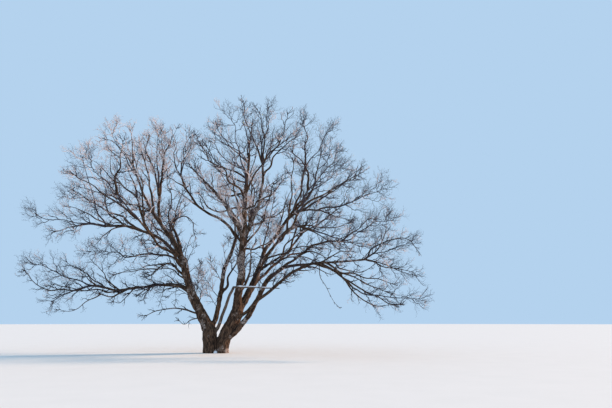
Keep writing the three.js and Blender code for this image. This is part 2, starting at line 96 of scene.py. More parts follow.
# One limb from its row in the tables below
def limb(name, carrier, at, tip, end, bow=NO_BOW, thick=MASS_THICKNESS, leave=None, reach=None):
    return dict(name=name, carrier=carrier, at=at, tip=tip, end=end, bow=bow, thick=thick,
                leave=leave, reach=reach)


# Limbs: name, carrier, share of the carrier's length where this one leaves it, place of the
# tip, pitch there, bow of the middle, thickness at foot and tip, own pitch at the foot if any
LIMBS = [limb(*row) for row in (
    ("left_stem", "left_trunk", 1, (-2.4, 0, 6.2), 68, (-0.36, 0, 0), (0.74, 0.52)),
    ("inner_left_stem", "left_trunk", 0.5, (1.15, 0.5, 7.9), 62, (0.22, 0, 0), (0.39, 0.23)),
    ("dead_stem", "left_trunk", 0.6, (1.2, -0.8, 4.3), 56, (0.06, -0.06, 0), (0.25, 0.17), 52),
    ("dead_limb", "dead_stem", 1, (4.25, -1.0, 4.22), -4, (0, 0, -0.02), (0.125, 0.06), 4),
    ("central_stem", "right_trunk", 1, (1.75, 0, 7.7), 88, (-0.15, 0, 0), (0.6, 0.48)),
    ("right_stem", "right_trunk", 1, (2.85, 1.5, 6.2), 72, NO_BOW, (0.54, 0.4)),
    ("outer_right_stem", "right_trunk", 0.25, (4.5, -1.0, 5.6), 36, (-0.18, 0, 0.2),
     (0.43, 0.27), 10),
    ("front_bough", "right_trunk", 0.72, (6.4, -4.0, 5.6), 14, (0, 0, -0.2), (0.23, 0.165)),
    ("front_bough_outer", "front_bough", 1, (8.8, -5.5, 4.0), -38, (0, 0, 0.26), (0.15, 0.1)),
    ("low_left_bough", "left_stem", 0.54, (-7.6, -2.8, 4.3), 6, (0, 0, -0.3), (0.23, 0.12), 62),
    ("back_left_low_bough", "left_stem", 0.93, (-6.4, 2.2, 6.7), 2, (0, 0, 0.15), (0.16, 0.1)),
    ("left_bough", "left_stem", 1, (-7.0, -2.6, 8.15), -2, (0, 0, 0.34), (0.25, 0.13)),
    ("high_left_bough", "left_stem", 1, (-4.45, 0.5, 11.4), 86, (-0.42, 0, 0), (0.32, 0.15)),
    ("outer_left_bough", "high_left_bough", 0.45, (-5.5, -1.4, 11.8), 70, NO_BOW, (0.22, 0.13)),
    ("far_left_bough", "high_left_bough", 0.58, (-7.0, 1.5, 10.4), 14, (0, 0, 0.12), (0.15, 0.095)),
    ("left_front_bough", "left_stem", 0.85, (-4.2, -5.2, 8.2), 32, (0, 0, -0.15), (0.2, 0.12)),
    ("left_back_bough", "left_stem", 0.76, (-4.6, 5.6, 8.8), 36, (0, 0, -0.15), (0.24, 0.13)),
    ("inner_left_bough", "inner_left_stem", 1, (-2.6, -1.0, 12.0), 80, (-0.15, 0, -0.12),
     (0.21, 0.12)),
    ("top_bough", "central_stem", 1, (1.9, 0.8, 13.2), 84, (-0.15, 0, 0), (0.3, 0.14)),
    ("top_right_bough", "central_stem", 1, (3.0, -0.5, 12.9), 80, (0.32, 0, 0), (0.28, 0.14)),
    ("centre_front_bough", "central_stem", 0.8, (2.2, -3.8, 10.6), 58, (0, 0, -0.2), (0.23, 0.13)),
    ("centre_back_bough", "central_stem", 0.7, (1.9, 4.2, 10.2), 52, (0, 0, -0.2), (0.24, 0.13)),
    ("high_right_bough", "right_stem", 1, (6.1, 3.0, 11.1), 44, (-0.18, 0, 0), (0.31, 0.15)),
    ("inner_right_bough", "high_right_bough", 0.6, (5.9, 0.3, 12.6), 80, (0.1, 0, -0.1),
     (0.18, 0.11)),
    ("right_bough", "high_right_bough", 0.7, (8.0, -0.7, 9.75), 2, (0, 0, -0.06), (0.15, 0.095)),
    ("arching_bough", "right_stem", 1, (6.6, -2.3, 7.9), -14, (0, 0, 0.38), (0.21, 0.11)),
    ("back_right_bough", "right_stem", 0.5, (5.6, 5.0, 8.6), 46, (0, 0, -0.15), (0.23, 0.13)),
    ("right_front_bough", "right_stem", 0.86, (5.6, -5.4, 8.6), 34, (0, 0, -0.1), (0.22, 0.13)),
    ("level_right_bough", "outer_right_stem", 1, (8.5, 1.0, 7.6), 8, (0, 0, 0.26), (0.18, 0.1)),
    ("low_right_bough", "outer_right_stem", 1, (9.9, -1.5, 6.1), 10, (0, 0, 0.06), (0.2, 0.105)),
)]

# Masses of twigs, whose stems go on from their carriers' tips: name, carrier, tip of the stem,
# pitch there, reach of the twigs round the stem
MASSES = [limb(name, carrier, 1, tip, end, reach=reach) for name, carrier, tip, end, reach in (
    ("twigs_low_left", "low_left_bough", (-11.5, -3.0, 5.7), 12, 1.7),
    ("twigs_bottom_left", "low_left_bough", (-9.3, -4.6, 3.2), -20, 1.5),
    ("twigs_left", "left_bough", (-10.7, -4.6, 8.5), 4, 1.9),
    ("twigs_upper_left", "left_bough", (-8.4, -3.8, 12.5), 60, 2.3),
    ("twigs_far_left", "far_left_bough", (-12.4, 3.4, 11.4), 12, 2.2),
    ("twigs_back_left", "back_left_low_bough", (-10.7, 4.6, 7.3), 0, 1.9),
    ("twigs_outer_left", "outer_left_bough", (-7.0, -2.6, 14.5), 66, 2.2),
    ("twigs_high_left", "high_left_bough", (-4.8, 1.0, 15.5), 80, 2.2),
    ("twigs_inner_left", "inner_left_bough", (-2.0, -1.2, 14.7), 74, 1.7),
    ("twigs_left_front", "left_front_bough", (-5.8, -9.4, 10.6), 24, 2.3),
    ("twigs_left_back", "left_back_bough", (-6.8, 9.8, 11.4), 24, 2.4),
    ("twigs_centre_left", "central_stem", (-1.8, -2.6, 12.4), 30, 1.9),
    ("twigs_top", "top_bough", (1.5, 0.8, 17.5), 86, 2.0),
    ("twigs_top_left", "top_bough", (-1.0, 2.5, 16.1), 50, 2.0),
    ("twigs_top_right", "top_right_bough", (3.4, -0.9, 16.9), 82, 1.9),
    ("twigs_top_far_right", "top_right_bough", (5.9, 0.9, 16.7), 68, 2.0),
    ("twigs_centre_front", "centre_front_bough", (1.6, -7.2, 13.8), 40, 2.3),
    ("twigs_centre_back", "centre_back_bough", (1.2, 8.0, 14.3), 44, 2.4),
    ("twigs_low_back", "centre_back_bough", (3.0, 9.8, 9.4), -6, 2.2),
    ("twigs_high_right", "high_right_bough", (9.0, 4.3, 14.1), 36, 2.3),
    ("twigs_inner_right", "inner_right_bough", (7.5, -1.0, 15.0), 60, 2.1),
    ("twigs_right", "right_bough", (11.0, -2.7, 10.6), 22, 2.2),
    ("twigs_arching", "arching_bough", (9.5, -5.0, 6.5), -32, 1.7),
    ("twigs_back_right", "back_right_bough", (8.0, 8.1, 11.2), 24, 2.4),
    ("twigs_right_front", "right_front_bough", (7.4, -9.2, 11.1), 24, 2.3),
    ("twigs_level_right", "level_right_bough", (12.3, 2.9, 9.7), 20, 2.1),
    ("twigs_low_right", "low_right_bough", (13.1, -1.6, 7.3), 10, 1.7),
    ("twigs_bottom_right", "low_right_bough", (13.3, -2.1, 4.9), -14, 1.5),
    ("twigs_front_right", "front_bough_outer", (12.5, -6.8, 3.3), -4, 1.5),
)]
MASS_NAMES = [spec["name"] for spec in MASSES]

SIDE_REACH = 1.3  # of a side limb's twigs, unless its row says otherwise
SIDE_FOOT = 0.1
SIDE_GIRTH = 1.6  # thickness of a side limb over the size that its row gives
SIDE_TAPER = 0.5  # thickness of a side limb at its tip, as a share of that at its foot


def side_limb(name, carrier, at, tip, end, reach=SIDE_REACH, foot=SIDE_FOOT, bow=(0, 0)):
    thick = (SIDE_GIRTH * foot, SIDE_TAPER * SIDE_GIRTH * foot)
    return limb(name, carrier, at, tip, end, (bow[0], 0, bow[1]), thick, reach=reach)


# Smaller boughs that the limbs above carry: name, carrier, share of its length where this one
# leaves, place of the tip, pitch there, reach of the twigs, size of the foot, bow to the right
# and up
SIDE_LIMBS = [side_limb(*row) for row in (
    ("left_fork", "left_stem", 0.92, (-3.6, 0.9, 8.9), 60, 1, 0.2),
    ("left_fork_right", "left_fork", 1, (-1.8, 1.2, 7.9), -60, 0.7, 0.08, (0, 0.7)),
    ("left_fork_up", "left_fork", 1, (-2.7, 1.5, 10.3), 60, 0.9, 0.08),
    ("high_left_riser", "high_left_bough", 0.85, (-3.9, 1, 14.9), 84, 1.3, 0.12, (-0.3, 0)),
    ("left_riser", "left_bough", 0.52, (-7, -1.6, 11.4), 25, 1.2, 0.12, (0.4, 0.2)),
    ("left_hooked", "left_bough", 0.62, (-7.2, -2.4, 10.3), 75, 1.1, 0.1, (-0.5, -0.3)),
    ("left_lower", "left_bough", 0.78, (-7, -3.6, 7.1), -20, 1, 0.08, (0, 0.1)),
    ("left_outer", "left_bough", 1, (-10.8, -2, 7.8), -8, 1.4, 0.09, (0, 0.2)),
    ("left_arched", "left_stem", 0.74, (-4.5, -1.5, 4.9), -50, 0.9, 0.13, (0, 0.45)),
    ("left_level", "left_stem", 0.68, (-5.3, 1, 5.4), -10, 0.8, 0.08, (0, 0.2)),
    ("left_under", "left_stem", 0.52, (-3.8, -1.2, 4.4), -5, 0.5, 0.1, (0, 0.1)),
    ("low_left_riser", "low_left_bough", 0.74, (-7.6, -3.2, 5.9), 50, 0.9, 0.07),
    ("low_left_outer_riser", "low_left_bough", 0.95, (-8.3, -2.6, 5.4), 50, 0.9, 0.07),
    ("low_left_drooping", "low_left_bough", 0.62, (-6.9, -3.6, 3.8), 15, 0.8, 0.08, (0, -0.15)),
    ("lowest_left", "left_stem", 0.2, (-4.5, -2.6, 2.4), -8, 0.7, 0.09, (0, 0.3)),
    ("lowest_left_short", "left_stem", 0.2, (-2.3, -1.6, 2.2), 25, 0.5, 0.06, (0, -0.2)),
    ("back_left_drooping", "back_left_low_bough", 0.8, (-8.3, 2.4, 5.9), -40, 0.9, 0.07, (0, 0.2)),
    ("inner_left_side", "inner_left_bough", 0.82, (-3.6, -0.6, 11.9), 15, 0.9, 0.08),
    ("inner_left_low", "inner_left_bough", 0.58, (-3.5, -0.2, 11.2), 30, 0.8, 0.07),
    ("centre_left_swept", "top_bough", 0.42, (-1.4, -1, 10.8), 70, 0.9, 0.11, (0, -0.75)),
    ("centre_left_high", "top_bough", 0.58, (-1.7, 0, 12.9), 75, 1, 0.1, (0, -0.8)),
    ("top_left_swept", "top_bough", 0.8, (-1.3, 0.3, 14.6), 60, 1.2, 0.1, (0, -0.45)),
    ("top_left_riser", "top_bough", 1, (-0.5, 0.6, 16.2), 75, 1, 0.08),
    ("top_crossing", "top_right_bough", 1, (1.6, -1, 17.4), 90, 1, 0.09, (-0.2, 0.2)),
    ("top_left_whip", "top_bough", 0.75, (-1.3, -0.6, 13.9), 50, 0.9, 0.08, (0, -0.5)),
    ("centre_riser", "central_stem", 1, (1.1, -1.6, 11.6), 80, 1.1, 0.16, (0.1, 0)),
    ("centre_front_riser", "central_stem", 1, (2.2, -1.8, 13.5), 75, 1.2, 0.17),
    ("centre_back_riser", "central_stem", 0.95, (2, 1.8, 12.3), 85, 1.1, 0.14, (0.4, 0)),
    ("top_right_riser", "top_right_bough", 1, (2.6, -1.2, 16.7), 95, 1.2, 0.09, (0.3, 0)),
    ("top_right_outer", "top_right_bough", 1, (4.7, -0.6, 16.7), 80, 1.2, 0.08, (0.3, -0.1)),
    ("top_right_side", "top_right_bough", 0.85, (5.4, -0.8, 14.8), 35, 1.2, 0.1, (0, 0.1)),
    ("centre_right_side", "top_right_bough", 0.18, (5, -2, 9.8), 40, 0.9, 0.1, (0, -0.3)),
    ("centre_right_low", "central_stem", 0.85, (4.4, -1.4, 7.9), 40, 0.8, 0.1, (0, -0.35)),
    ("right_high_riser", "inner_right_bough", 1, (5.9, 0.2, 16.3), 86, 1.2, 0.1),
    ("right_riser", "high_right_bough", 0.72, (7.2, 1.2, 14.4), 80, 1.2, 0.11, (0.2, -0.2)),
    ("right_second", "high_right_bough", 0.62, (9.7, 1.4, 12.4), 28, 1.3, 0.14, (0, -0.1)),
    ("right_low_side", "right_bough", 0.6, (9.1, -1.5, 8.7), -5, 1, 0.07),
    ("back_right_riser", "back_right_bough", 1, (7, 6, 11.4), 70),
    ("level_right_short", "level_right_bough", 0.2, (7.4, -0.4, 6.2), -35, 0.8, 0.1, (0, 0.35)),
    ("level_right_fork", "level_right_bough", 1, (10.7, 1, 9.3), 35, 1.3, 0.09),
    ("low_right_riser", "low_right_bough", 1, (11.5, -1.2, 9.2), 84, 1.1, 0.08, (0.1, -0.2)),
    ("low_right_tip", "low_right_bough", 1, (13.7, -1, 6.5), -60, 0.9, 0.08, (0, 0.75)),
    ("low_right_lower", "low_right_bough", 0.93, (13.1, -2, 5.2), -8, 0.9, 0.08, (0, -0.05)),
    ("low_right_curl", "low_right_bough", 0.6, (10.5, -2.6, 5.7), 15, 0.6, 0.07, (0, -0.4)),
    ("front_second", "front_bough_outer", 0.15, (11.7, -6.2, 3), -15, 0.7, 0.1, (0, -0.3)),
    ("front_upper", "front_bough_outer", 0.05, (11.4, -4.6, 3.7), -15, 0.8, 0.09, (0, 0.1)),
    ("front_hanging", "front_bough_outer", 0.12, (8.1, -4.6, 2.8), -80, 0.3, 0.035, (-0.45, 0)),
    ("front_hook", "front_bough", 0.85, (6.6, -3.8, 5), -80, 0.2, 0.06, (0.2, 0)),
    ("front_stub", "front_bough", 0.64, (5.3, -3, 4.6), 10, 0.2, 0.06),
    ("front_short", "front_bough", 0.95, (8, -4.2, 5), 5, 0.4, 0.06, (0, -0.15)),
    ("outer_left_second", "outer_left_bough", 0.35, (-5.7, -0.8, 14.5), 84, 1.2, 0.12, (0.35, 0)),
    ("outer_left_tip", "outer_left_bough", 1, (-6, -1.8, 15.1), 84, 1.1, 0.08, (0.1, 0)),
    ("outer_left_swept", "outer_left_bough", 0.85, (-7.6, -2.4, 14.2), 30, 1.3, 0.08, (0, 0.2)),
    ("high_left_second", "high_left_bough", 0.88, (-5, -0.6, 15), 84, 1.2, 0.1, (-0.2, 0)),
    ("high_left_outer", "high_left_riser", 1, (-3.5, 1.2, 16.1), 75, 0.9, 0.04, (0.05, 0)),
    ("high_left_between", "high_left_riser", 0.4, (-4.4, 0.2, 15.6), 80, 1, 0.07),
    ("left_riser_fork", "left_riser", 0.6, (-6.2, -1.2, 12.4), 80, 1, 0.09, (0.25, 0)),
    ("left_riser_tip", "left_riser", 1, (-8.6, -2.2, 12.8), 30, 1.2, 0.05, (0, 0.15)),
    ("left_riser_upper", "left_riser", 0.88, (-7.3, -1.6, 13.6), 75, 1.2, 0.06, (-0.15, 0)),
    ("left_hooked_upper", "left_hooked", 1, (-7.8, -2.4, 11.8), 60, 1.1, 0.045),
    ("left_second", "left_bough", 0.6, (-9.9, -1.6, 10.8), 30, 1.3, 0.11, (0, 0.1)),
    ("left_third", "left_bough", 0.95, (-9.4, -3.2, 9.4), 25, 1.2, 0.08, (0, 0.1)),
    ("far_left_drooping", "far_left_bough", 0.35, (-8, 0.2, 8.5), -40, 0.5, 0.07, (0, 0.25)),
    ("far_left_upper", "far_left_bough", 1, (-10.7, 1.4, 11.7), 10, 1.1, 0.08, (0, 0.15)),
    ("far_left_riser", "far_left_bough", 0.9, (-9.3, 2, 13.2), 50, 1.2, 0.08, (-0.1, 0)),
    ("inner_left_riser", "inner_left_bough", 1, (-1.9, 0.4, 15.4), 78, 0.9, 0.07, (-0.1, 0)),
    ("inner_left_second", "inner_left_bough", 0.95, (-2.9, -1.8, 14.2), 80, 1, 0.07, (-0.1, 0)),
    ("low_left_lowest", "low_left_drooping", 0.9, (-9, -4.6, 2.8), -5, 0.6, 0.05, (0, -0.35)),
    ("low_left_tail", "low_left_bough", 1, (-11.7, -3.6, 5.3), 50, 1.1, 0.08, (0, -0.45)),
    ("low_left_upper", "low_left_bough", 0.88, (-9.6, -2.2, 5.9), 25, 1.1, 0.07),
    ("left_back_second", "left_back_bough", 0.7, (-9.1, 6.6, 12.1), 30, 1.3, 0.1, (0, 0.1)),
    ("front_third", "front_bough_outer", 0.6, (11.3, -6, 4.2), -10, 0.8, 0.08, (0, 0.15)),
    ("front_lower", "front_bough_outer", 0.75, (11.2, -6.8, 2.9), 0, 0.6, 0.07, (0, -0.3)),
    ("arching_second", "arching_bough", 0.55, (9.2, -1, 8.7), 20, 1, 0.09, (0, 0.1)),
    ("arching_low", "arching_bough", 0.75, (8.9, -3.2, 6), -30, 0.9, 0.07, (0, 0.25)),
    ("right_upper_second", "high_right_bough", 0.85, (8.8, 2.4, 14.8), 45, 1.2, 0.09),
    ("right_outer_second", "right_second", 0.6, (10.2, 1.8, 13.3), 30, 1.1, 0.06, (0, -0.1)),
    ("right_bough_fork", "right_bough", 1, (10.2, -0.4, 11), 45, 1, 0.07, (0, -0.1)),
    ("level_right_lower", "level_right_bough", 0.75, (10.8, 1.6, 7.4), -5, 1, 0.07, (0, 0.1)),
    ("low_right_second", "low_right_bough", 0.45, (9.2, -0.6, 6.8), 10, 0.9, 0.08, (0, 0.1)),
    ("centre_second", "central_stem", 0.9, (0.5, -0.8, 11.2), 80, 1, 0.11, (-0.35, 0)),
    ("centre_third", "central_stem", 0.85, (3.3, 0.6, 11.3), 80, 1, 0.11, (0.4, 0)),
    ("inner_left_fork", "inner_left_stem", 0.42, (1.3, 0.2, 6.8), 70, 0.7, 0.15, (0.2, 0)),
    ("inner_stem_shoot", "inner_left_stem", 0.5, (-0.7, 0.9, 6.4), 60, 0.9, 0.035),
    ("inner_stem_low_shoot", "inner_left_stem", 0.38, (-1.2, -0.3, 5.3), 30, 0.9, 0.035),
    ("inner_left_shoot", "inner_left_stem", 0.3, (-0.8, 0.4, 4), 20, 0.8, 0.03, (0, -0.1)),
    ("low_left_level", "low_left_bough", 0.7, (-10.2, -3.4, 4.2), -5, 0.9, 0.08, (0, -0.15)),
    ("left_arched_low", "left_arched", 0.75, (-6.6, -1.8, 5), -10, 0.8, 0.06, (0, 0.2)),
    ("low_left_short", "low_left_bough", 0.6, (-6.1, -3.2, 3.3), -5, 0.6, 0.06, (0, -0.25)),
    ("left_stem_shoot", "left_stem", 0.72, (-1.3, 0.5, 6.1), 50, 0.7, 0.05),
    ("left_upper_spray", "left_stem", 0.97, (-5.4, 0.4, 7.4), 10, 0.9, 0.07, (0, 0.1)),
    ("centre_loop", "central_stem", 0.6, (3, -0.6, 6.3), -35, 0.6, 0.07, (0, 0.45)),
    ("right_stem_riser", "right_stem", 0.9, (3.9, 0.6, 10.8), 75, 1, 0.1, (-0.1, 0)),
    ("high_right_riser", "high_right_bough", 0.45, (5, 1.6, 11.8), 80, 1, 0.08, (-0.1, 0)),
    ("low_left_strand", "left_stem", 0.5, (-4.9, -2.2, 3.6), -25, 0.7, 0.12, (0, 0.4)),
    ("left_level_strand", "left_arched", 0.6, (-6.5, -2.2, 5), 0, 0.8, 0.06, (0, 0.3)),
    ("left_stem_curl", "left_stem", 0.85, (-1.6, 0.6, 7.2), -60, 0.6, 0.04, (0.2, 0.5)),
    ("left_stem_upper_curl", "left_stem", 0.95, (-1.1, -0.6, 8), -10, 0.7, 0.045, (0, 0.25)),
    ("left_stem_low_shoot", "left_stem", 0.3, (-1.1, 0.8, 5.5), 70, 1, 0.035, (0.1, 0)),
    ("left_stem_web", "left_stem", 0.45, (-1, -0.6, 5.9), 60, 0.9, 0.03, (0.1, 0)),
    ("low_left_hanging", "low_left_bough", 0.3, (-3.4, -1.8, 3.3), -30, 0.8, 0.04, (0, 0.1)),
    ("low_left_hanging_short", "low_left_bough", 0.14, (-2.6, -1, 3.4), -60, 0.6, 0.04, (0, 0.1)),
    ("low_left_middle", "low_left_bough", 0.45, (-4.4, -2.4, 3.4), -10, 0.7, 0.05, (0, -0.1)),
    ("right_stem_arched", "right_stem", 0.8, (7, -1.5, 5.9), -20, 0.7, 0.11, (0, 0.35)),
    ("right_stem_level", "right_stem", 0.88, (7.1, -2, 6.7), 0, 0.7, 0.1, (0, 0.25)),
    ("central_strand", "central_stem", 0.2, (2.6, 0.2, 7.7), 80, 0.6, 0.14, (0.15, 0)),
    ("right_stem_strand", "right_stem", 0.6, (6, 0.5, 8.6), 45, 0.9, 0.14, (0, -0.2)),
    ("front_ring", "front_bough", 0.5, (4.8, -2.6, 4.7), -110, 0.3, 0.04, (0.1, 0.55)),
    ("front_upper_twig", "front_bough", 0.3, (3.3, -1.8, 5.9), 80, 0.7, 0.04),
    ("central_wisp", "central_stem", 0.55, (3.1, -0.8, 6), -20, 0.6, 0.05, (0, 0.4)),
    ("central_left_spray", "central_stem", 0.45, (0.9, 0.4, 6.1), 60, 0.7, 0.04, (-0.1, 0)),
    ("inner_right_spray", "inner_left_stem", 0.7, (0.2, 0.9, 7.3), 60, 0.7, 0.035),
    ("left_stem_hanging", "left_stem", 0.42, (-3.3, -0.8, 3.6), -30, 0.7, 0.045, (0, 0.25)),
    ("left_front_riser", "left_front_bough", 0.7, (-5, -4.4, 12.6), 70),
    ("left_front_outer", "left_front_bough", 1, (-8, -6.6, 10.8), 25),
    ("left_front_inner", "twigs_left_front", 0.45, (-4.6, -7.6, 12.4), 40),
    ("centre_front_left", "centre_front_bough", 0.8, (-0.6, -5.6, 13), 50),
    ("centre_front_right", "centre_front_bough", 0.9, (4.4, -5.8, 13.2), 50),
    ("centre_front_low", "centre_front_bough", 0.55, (4.2, -8, 9.8), 20),
    ("centre_front_high", "centre_front_bough", 1, (2.6, -4.2, 14.6), 70),
    ("right_front_riser", "right_front_bough", 0.7, (5.2, -4.2, 12.4), 70),
    ("right_front_outer", "right_front_bough", 1, (9.4, -6.4, 10.8), 25),
    ("right_front_inner", "twigs_right_front", 0.4, (5.2, -7.6, 11.8), 40),
    ("left_back_riser", "left_back_bough", 0.7, (-5, 4.6, 14), 70),
    ("left_back_inner", "left_back_bough", 1, (-4, 8, 13.2), 40),
    ("centre_back_left", "centre_back_bough", 0.9, (-1.4, 5.6, 14.4), 50),
    ("centre_back_right", "centre_back_bough", 1, (4.4, 6.4, 13.6), 50),
    ("centre_back_low", "centre_back_bough", 0.85, (-0.5, 8.8, 8.8), 10),
    ("centre_back_high", "centre_back_bough", 0.8, (2.2, 3.8, 15.4), 70),
    ("back_right_high", "back_right_bough", 0.7, (6, 4.6, 14), 70),
    ("back_right_outer", "back_right_bough", 0.9, (9.6, 6.4, 11.6), 25),
    ("back_right_inner", "back_right_bough", 1, (4.6, 8.4, 11.6), 40),
    ("left_back_low", "left_back_bough", 0.55, (-7.6, 7.4, 8.6), 5),
    ("back_right_low", "back_right_bough", 0.5, (8.4, 7, 8.2), 5),
    ("top_right_spray", "top_right_bough", 0.35, (4.3, -1.2, 11.4), 40, 0.8, 0.06, (0, -0.2)),
    ("top_right_low", "top_right_bough", 0.6, (4.8, 0.2, 12.5), 35, 0.8, 0.06, (0, -0.1)),
    ("top_left_second_whip", "top_bough", 0.9, (-0.9, -0.5, 14.6), 45, 0.9, 0.07, (0, -0.35)),
)]
SIDE_NAMES = [spec["name"] for spec in SIDE_LIMBS]

# Where a limb bears no twigs: the share of its length from its foot
BARE = dict(
    left_stem=0.5, inner_left_stem=0.6, central_stem=0.45, right_stem=0.6, outer_right_stem=0.7,
    dead_stem=1, dead_limb=1, low_left_bough=0.15, inner_left_bough=0.5, front_bough=0.55,
    front_bough_outer=0.5, front_hook=1, front_stub=1, front_ring=0.6, left_under=0.6,
    inner_left_fork=0.6)
BARE_BOUGH = 0.35
BARE_SIDE_LIMB = 0.25

# Spacing of the twigs on some limbs over the usual one: below 1 where they stand closer, and
# above 1 where the crown is more open
SPACING = {name: spacing for spacing, names in (
    (0.4, "left_stem_low_shoot left_stem_web inner_stem_shoot inner_stem_low_shoot"
          " inner_left_shoot"),
    (0.5, "central_stem outer_right_stem back_left_low_bough front_bough"),
    (0.55, "low_left_bough"),
    (0.6, "right_stem"),
    (0.7, "left_arched low_left_strand left_stem_hanging low_left_middle"),
    (1.2, "right_high_riser"),
    (1.3, "top_crossing arching_second twigs_right"),
    (1.4, "high_left_bough left_upper_spray left_front_riser left_back_riser top_right_riser"),
    (1.5, "left_bough top_right_bough centre_front_low twigs_top_right back_right_inner"
          " back_right_riser twigs_high_right"),
    (1.6, "left_front_bough left_back_bough centre_front_right twigs_top_far_right top_right_side"
          " right_stem_strand twigs_inner_right twigs_back_right"),
    (1.7, "left_second left_third outer_left_swept twigs_left twigs_centre_back right_stem_riser"
          " right_front_inner"),
    (1.8, "centre_back_riser top_left_riser"),
    (1.9, "centre_second back_right_high"),
    (2, "left_riser_upper centre_riser centre_third twigs_centre_front twigs_top_left"
        " inner_right_bough high_right_bough right_second high_right_riser"),
    (2.1, "right_front_bough back_right_bough right_riser"),
    (2.2, "twigs_far_left top_bough centre_front_bough centre_back_bough centre_back_high"
          " right_bough right_front_riser twigs_right_front"),
    (2.3, "twigs_top"),
    (2.6, "twigs_outer_left twigs_left_front centre_front_high"),
    (3, "left_riser_tip centre_front_riser"),
    (3.2, "left_front_outer"),
    (4.2, "twigs_upper_left"),
) for name in names.split()}

# Seeded random numbers from 0 to 1, the same as those of the solids
SEED_FACTOR = 2654435761
DRAW_FACTOR = 1664525
DRAW_STEP = 1013904223
WORD = 2 ** 32


def random_from(seed):
    state = (seed + 1) * SEED_FACTOR % WORD

    def draw():
        nonlocal state
        state = (state * DRAW_FACTOR + DRAW_STEP) % WORD
        return state / WORD
    return draw


def mix(a, b, share):
    return a + (b - a) * share


def unit(vectors):
    return vectors / np.maximum(np.linalg.norm(vectors, axis=-1, keepdims=True), 1e-9)


def pitched(heading, pitch):
    flat = math.cos(math.radians(pitch))
    return np.array([flat * math.cos(heading), flat * math.sin(heading),
                     math.sin(math.radians(pitch))])


# Points from foot to tip: a smooth curve that leaves and arrives in given directions
def curve_points(foot, leave, tip, arrive, bow, wander, steps, random):
    points = []
    pull = np.linalg.norm(tip - foot)
    for i in range(steps + 1):
        t = i / steps
        point = (foot * (1 - 3 * t * t + 2 * t ** 3) + leave * pull * t * (1 - t) ** 2
                 + tip * (3 * t * t - 2 * t ** 3) + arrive * pull * t * t * (t - 1)
                 + bow * 4 * t * (1 - t))
        stray = np.array([random(), random(), random()]) * 2 - 1
        if 0 < i < steps:
            point = point + wander * stray
        points.append(point)
    return np.array(points)


class Line:
    """A line of points with the distance along it at each point."""

    def __init__(self, points):
        self.points = points
        stretches = np.linalg.norm(np.diff(points, axis=0), axis=1)
        self.along = np.concatenate([[0.0], np.cumsum(stretches)])
        self.length = self.along[-1]

    def at(self, distance):
        return np.stack([np.interp(distance, self.along, self.points[:, k]) for k in range(3)], -1)

    def heading(self, distance):
        i = np.clip(np.searchsorted(self.along, distance), 1, len(self.along) - 1)
        return unit(self.points[i] - self.points[i - 1])


# Smooth noise from -1 to 1 at each of many places, from a lattice of seeded numbers
LATTICE_SEED = 11
LATTICE_SIZE = 64
LATTICE = np.random.RandomState(LATTICE_SEED).uniform(-1, 1, (LATTICE_SIZE,) * 3)


def noise_at(places):
    cell = np.floor(places).astype(int)
    inside = places - cell
    inside = inside * inside * (3 - 2 * inside)
    value = np.zeros(places.shape[:-1])
    for corner in np.ndindex(2, 2, 2):
        weight = np.where(corner, inside, 1 - inside).prod(axis=-1)
        index = np.moveaxis((cell + corner) % LATTICE_SIZE, -1, 0)
        value += weight * LATTICE[tuple(index)]
    return value


# The same noise along a line: its wave's length, and the row of the lattice that it follows
def noise_along(distance, wave, y, z):
    ones = np.ones_like(distance)
    return noise_at(np.stack([distance / wave, y * ones, z * ones], -1))


# A limb's line from its carrier: unless it has a pitch of its own, it leaves in a direction
# between the carrier's and that of its tip
def grow_limb(spec, carrier, line, seed):
    where = line.length * spec["at"]
    foot = line.at(where)
    tip = np.array(spec["tip"], float)
    chord = tip - foot
    heading = math.atan2(chord[1], chord[0])
    if spec["leave"] is None:
        leave = unit(mix(line.heading(where), unit(chord), TURN))
    else:
        leave = pitched(heading, spec["leave"])
    length = np.linalg.norm(chord)
    steps = max(FEWEST_STRETCHES, round(length / STEP))
    points = curve_points(foot, leave, tip, pitched(heading, spec["end"]), np.array(spec["bow"]),
                          WANDER * length, steps, random_from(seed))
    return dict(spec, carrier=carrier, seed=seed, line=Line(points))


def grow_trunk(spec, seed):
    foot = np.array(spec["foot"], float)
    tip = np.array(spec["tip"], float)
    chord = tip - foot
    arrive = pitched(math.atan2(chord[1], chord[0]), spec["end"])
    steps = round(np.linalg.norm(chord) / TRUNK_STEP)
    points = curve_points(foot, UP, tip, arrive, np.array(spec["bow"]), 0, steps, random_from(seed))
    return dict(spec, carrier=None, seed=seed, line=Line(points), reach=None)


# The path that a limb's bark follows: a round curve through the points of its line, which
# bends a little to and fro between them and starts on its carrier's own path
PATH_STEP = 0.11
CROOK_LENGTH = 0.85
CROOK_SHIFT = 3.7  # in the noise, from one limb's crooks to the next one's
CROOK_FADE = 0.5  # distance from either end over which the crooks set in
FOOT_FADE = 0.9  # distance over which a path comes back from its carrier's path to its own line


def round_curve(points):
    padded = np.vstack([2 * points[0] - points[1], points, 2 * points[-1] - points[-2]])
    stretches = []
    for a, b, c, d in zip(padded, padded[1:], padded[2:], padded[3:]):
        count = max(2, round(np.linalg.norm(c - b) / PATH_STEP))
        t = (np.arange(count) / count)[:, None]
        stretches.append(0.5 * (2 * b + (c - a) * t + (2 * a - 5 * b + 4 * c - d) * t ** 2
                                + (3 * b - a - 3 * c + d) * t ** 3))
    return Line(np.vstack(stretches + [points[-1:]]))


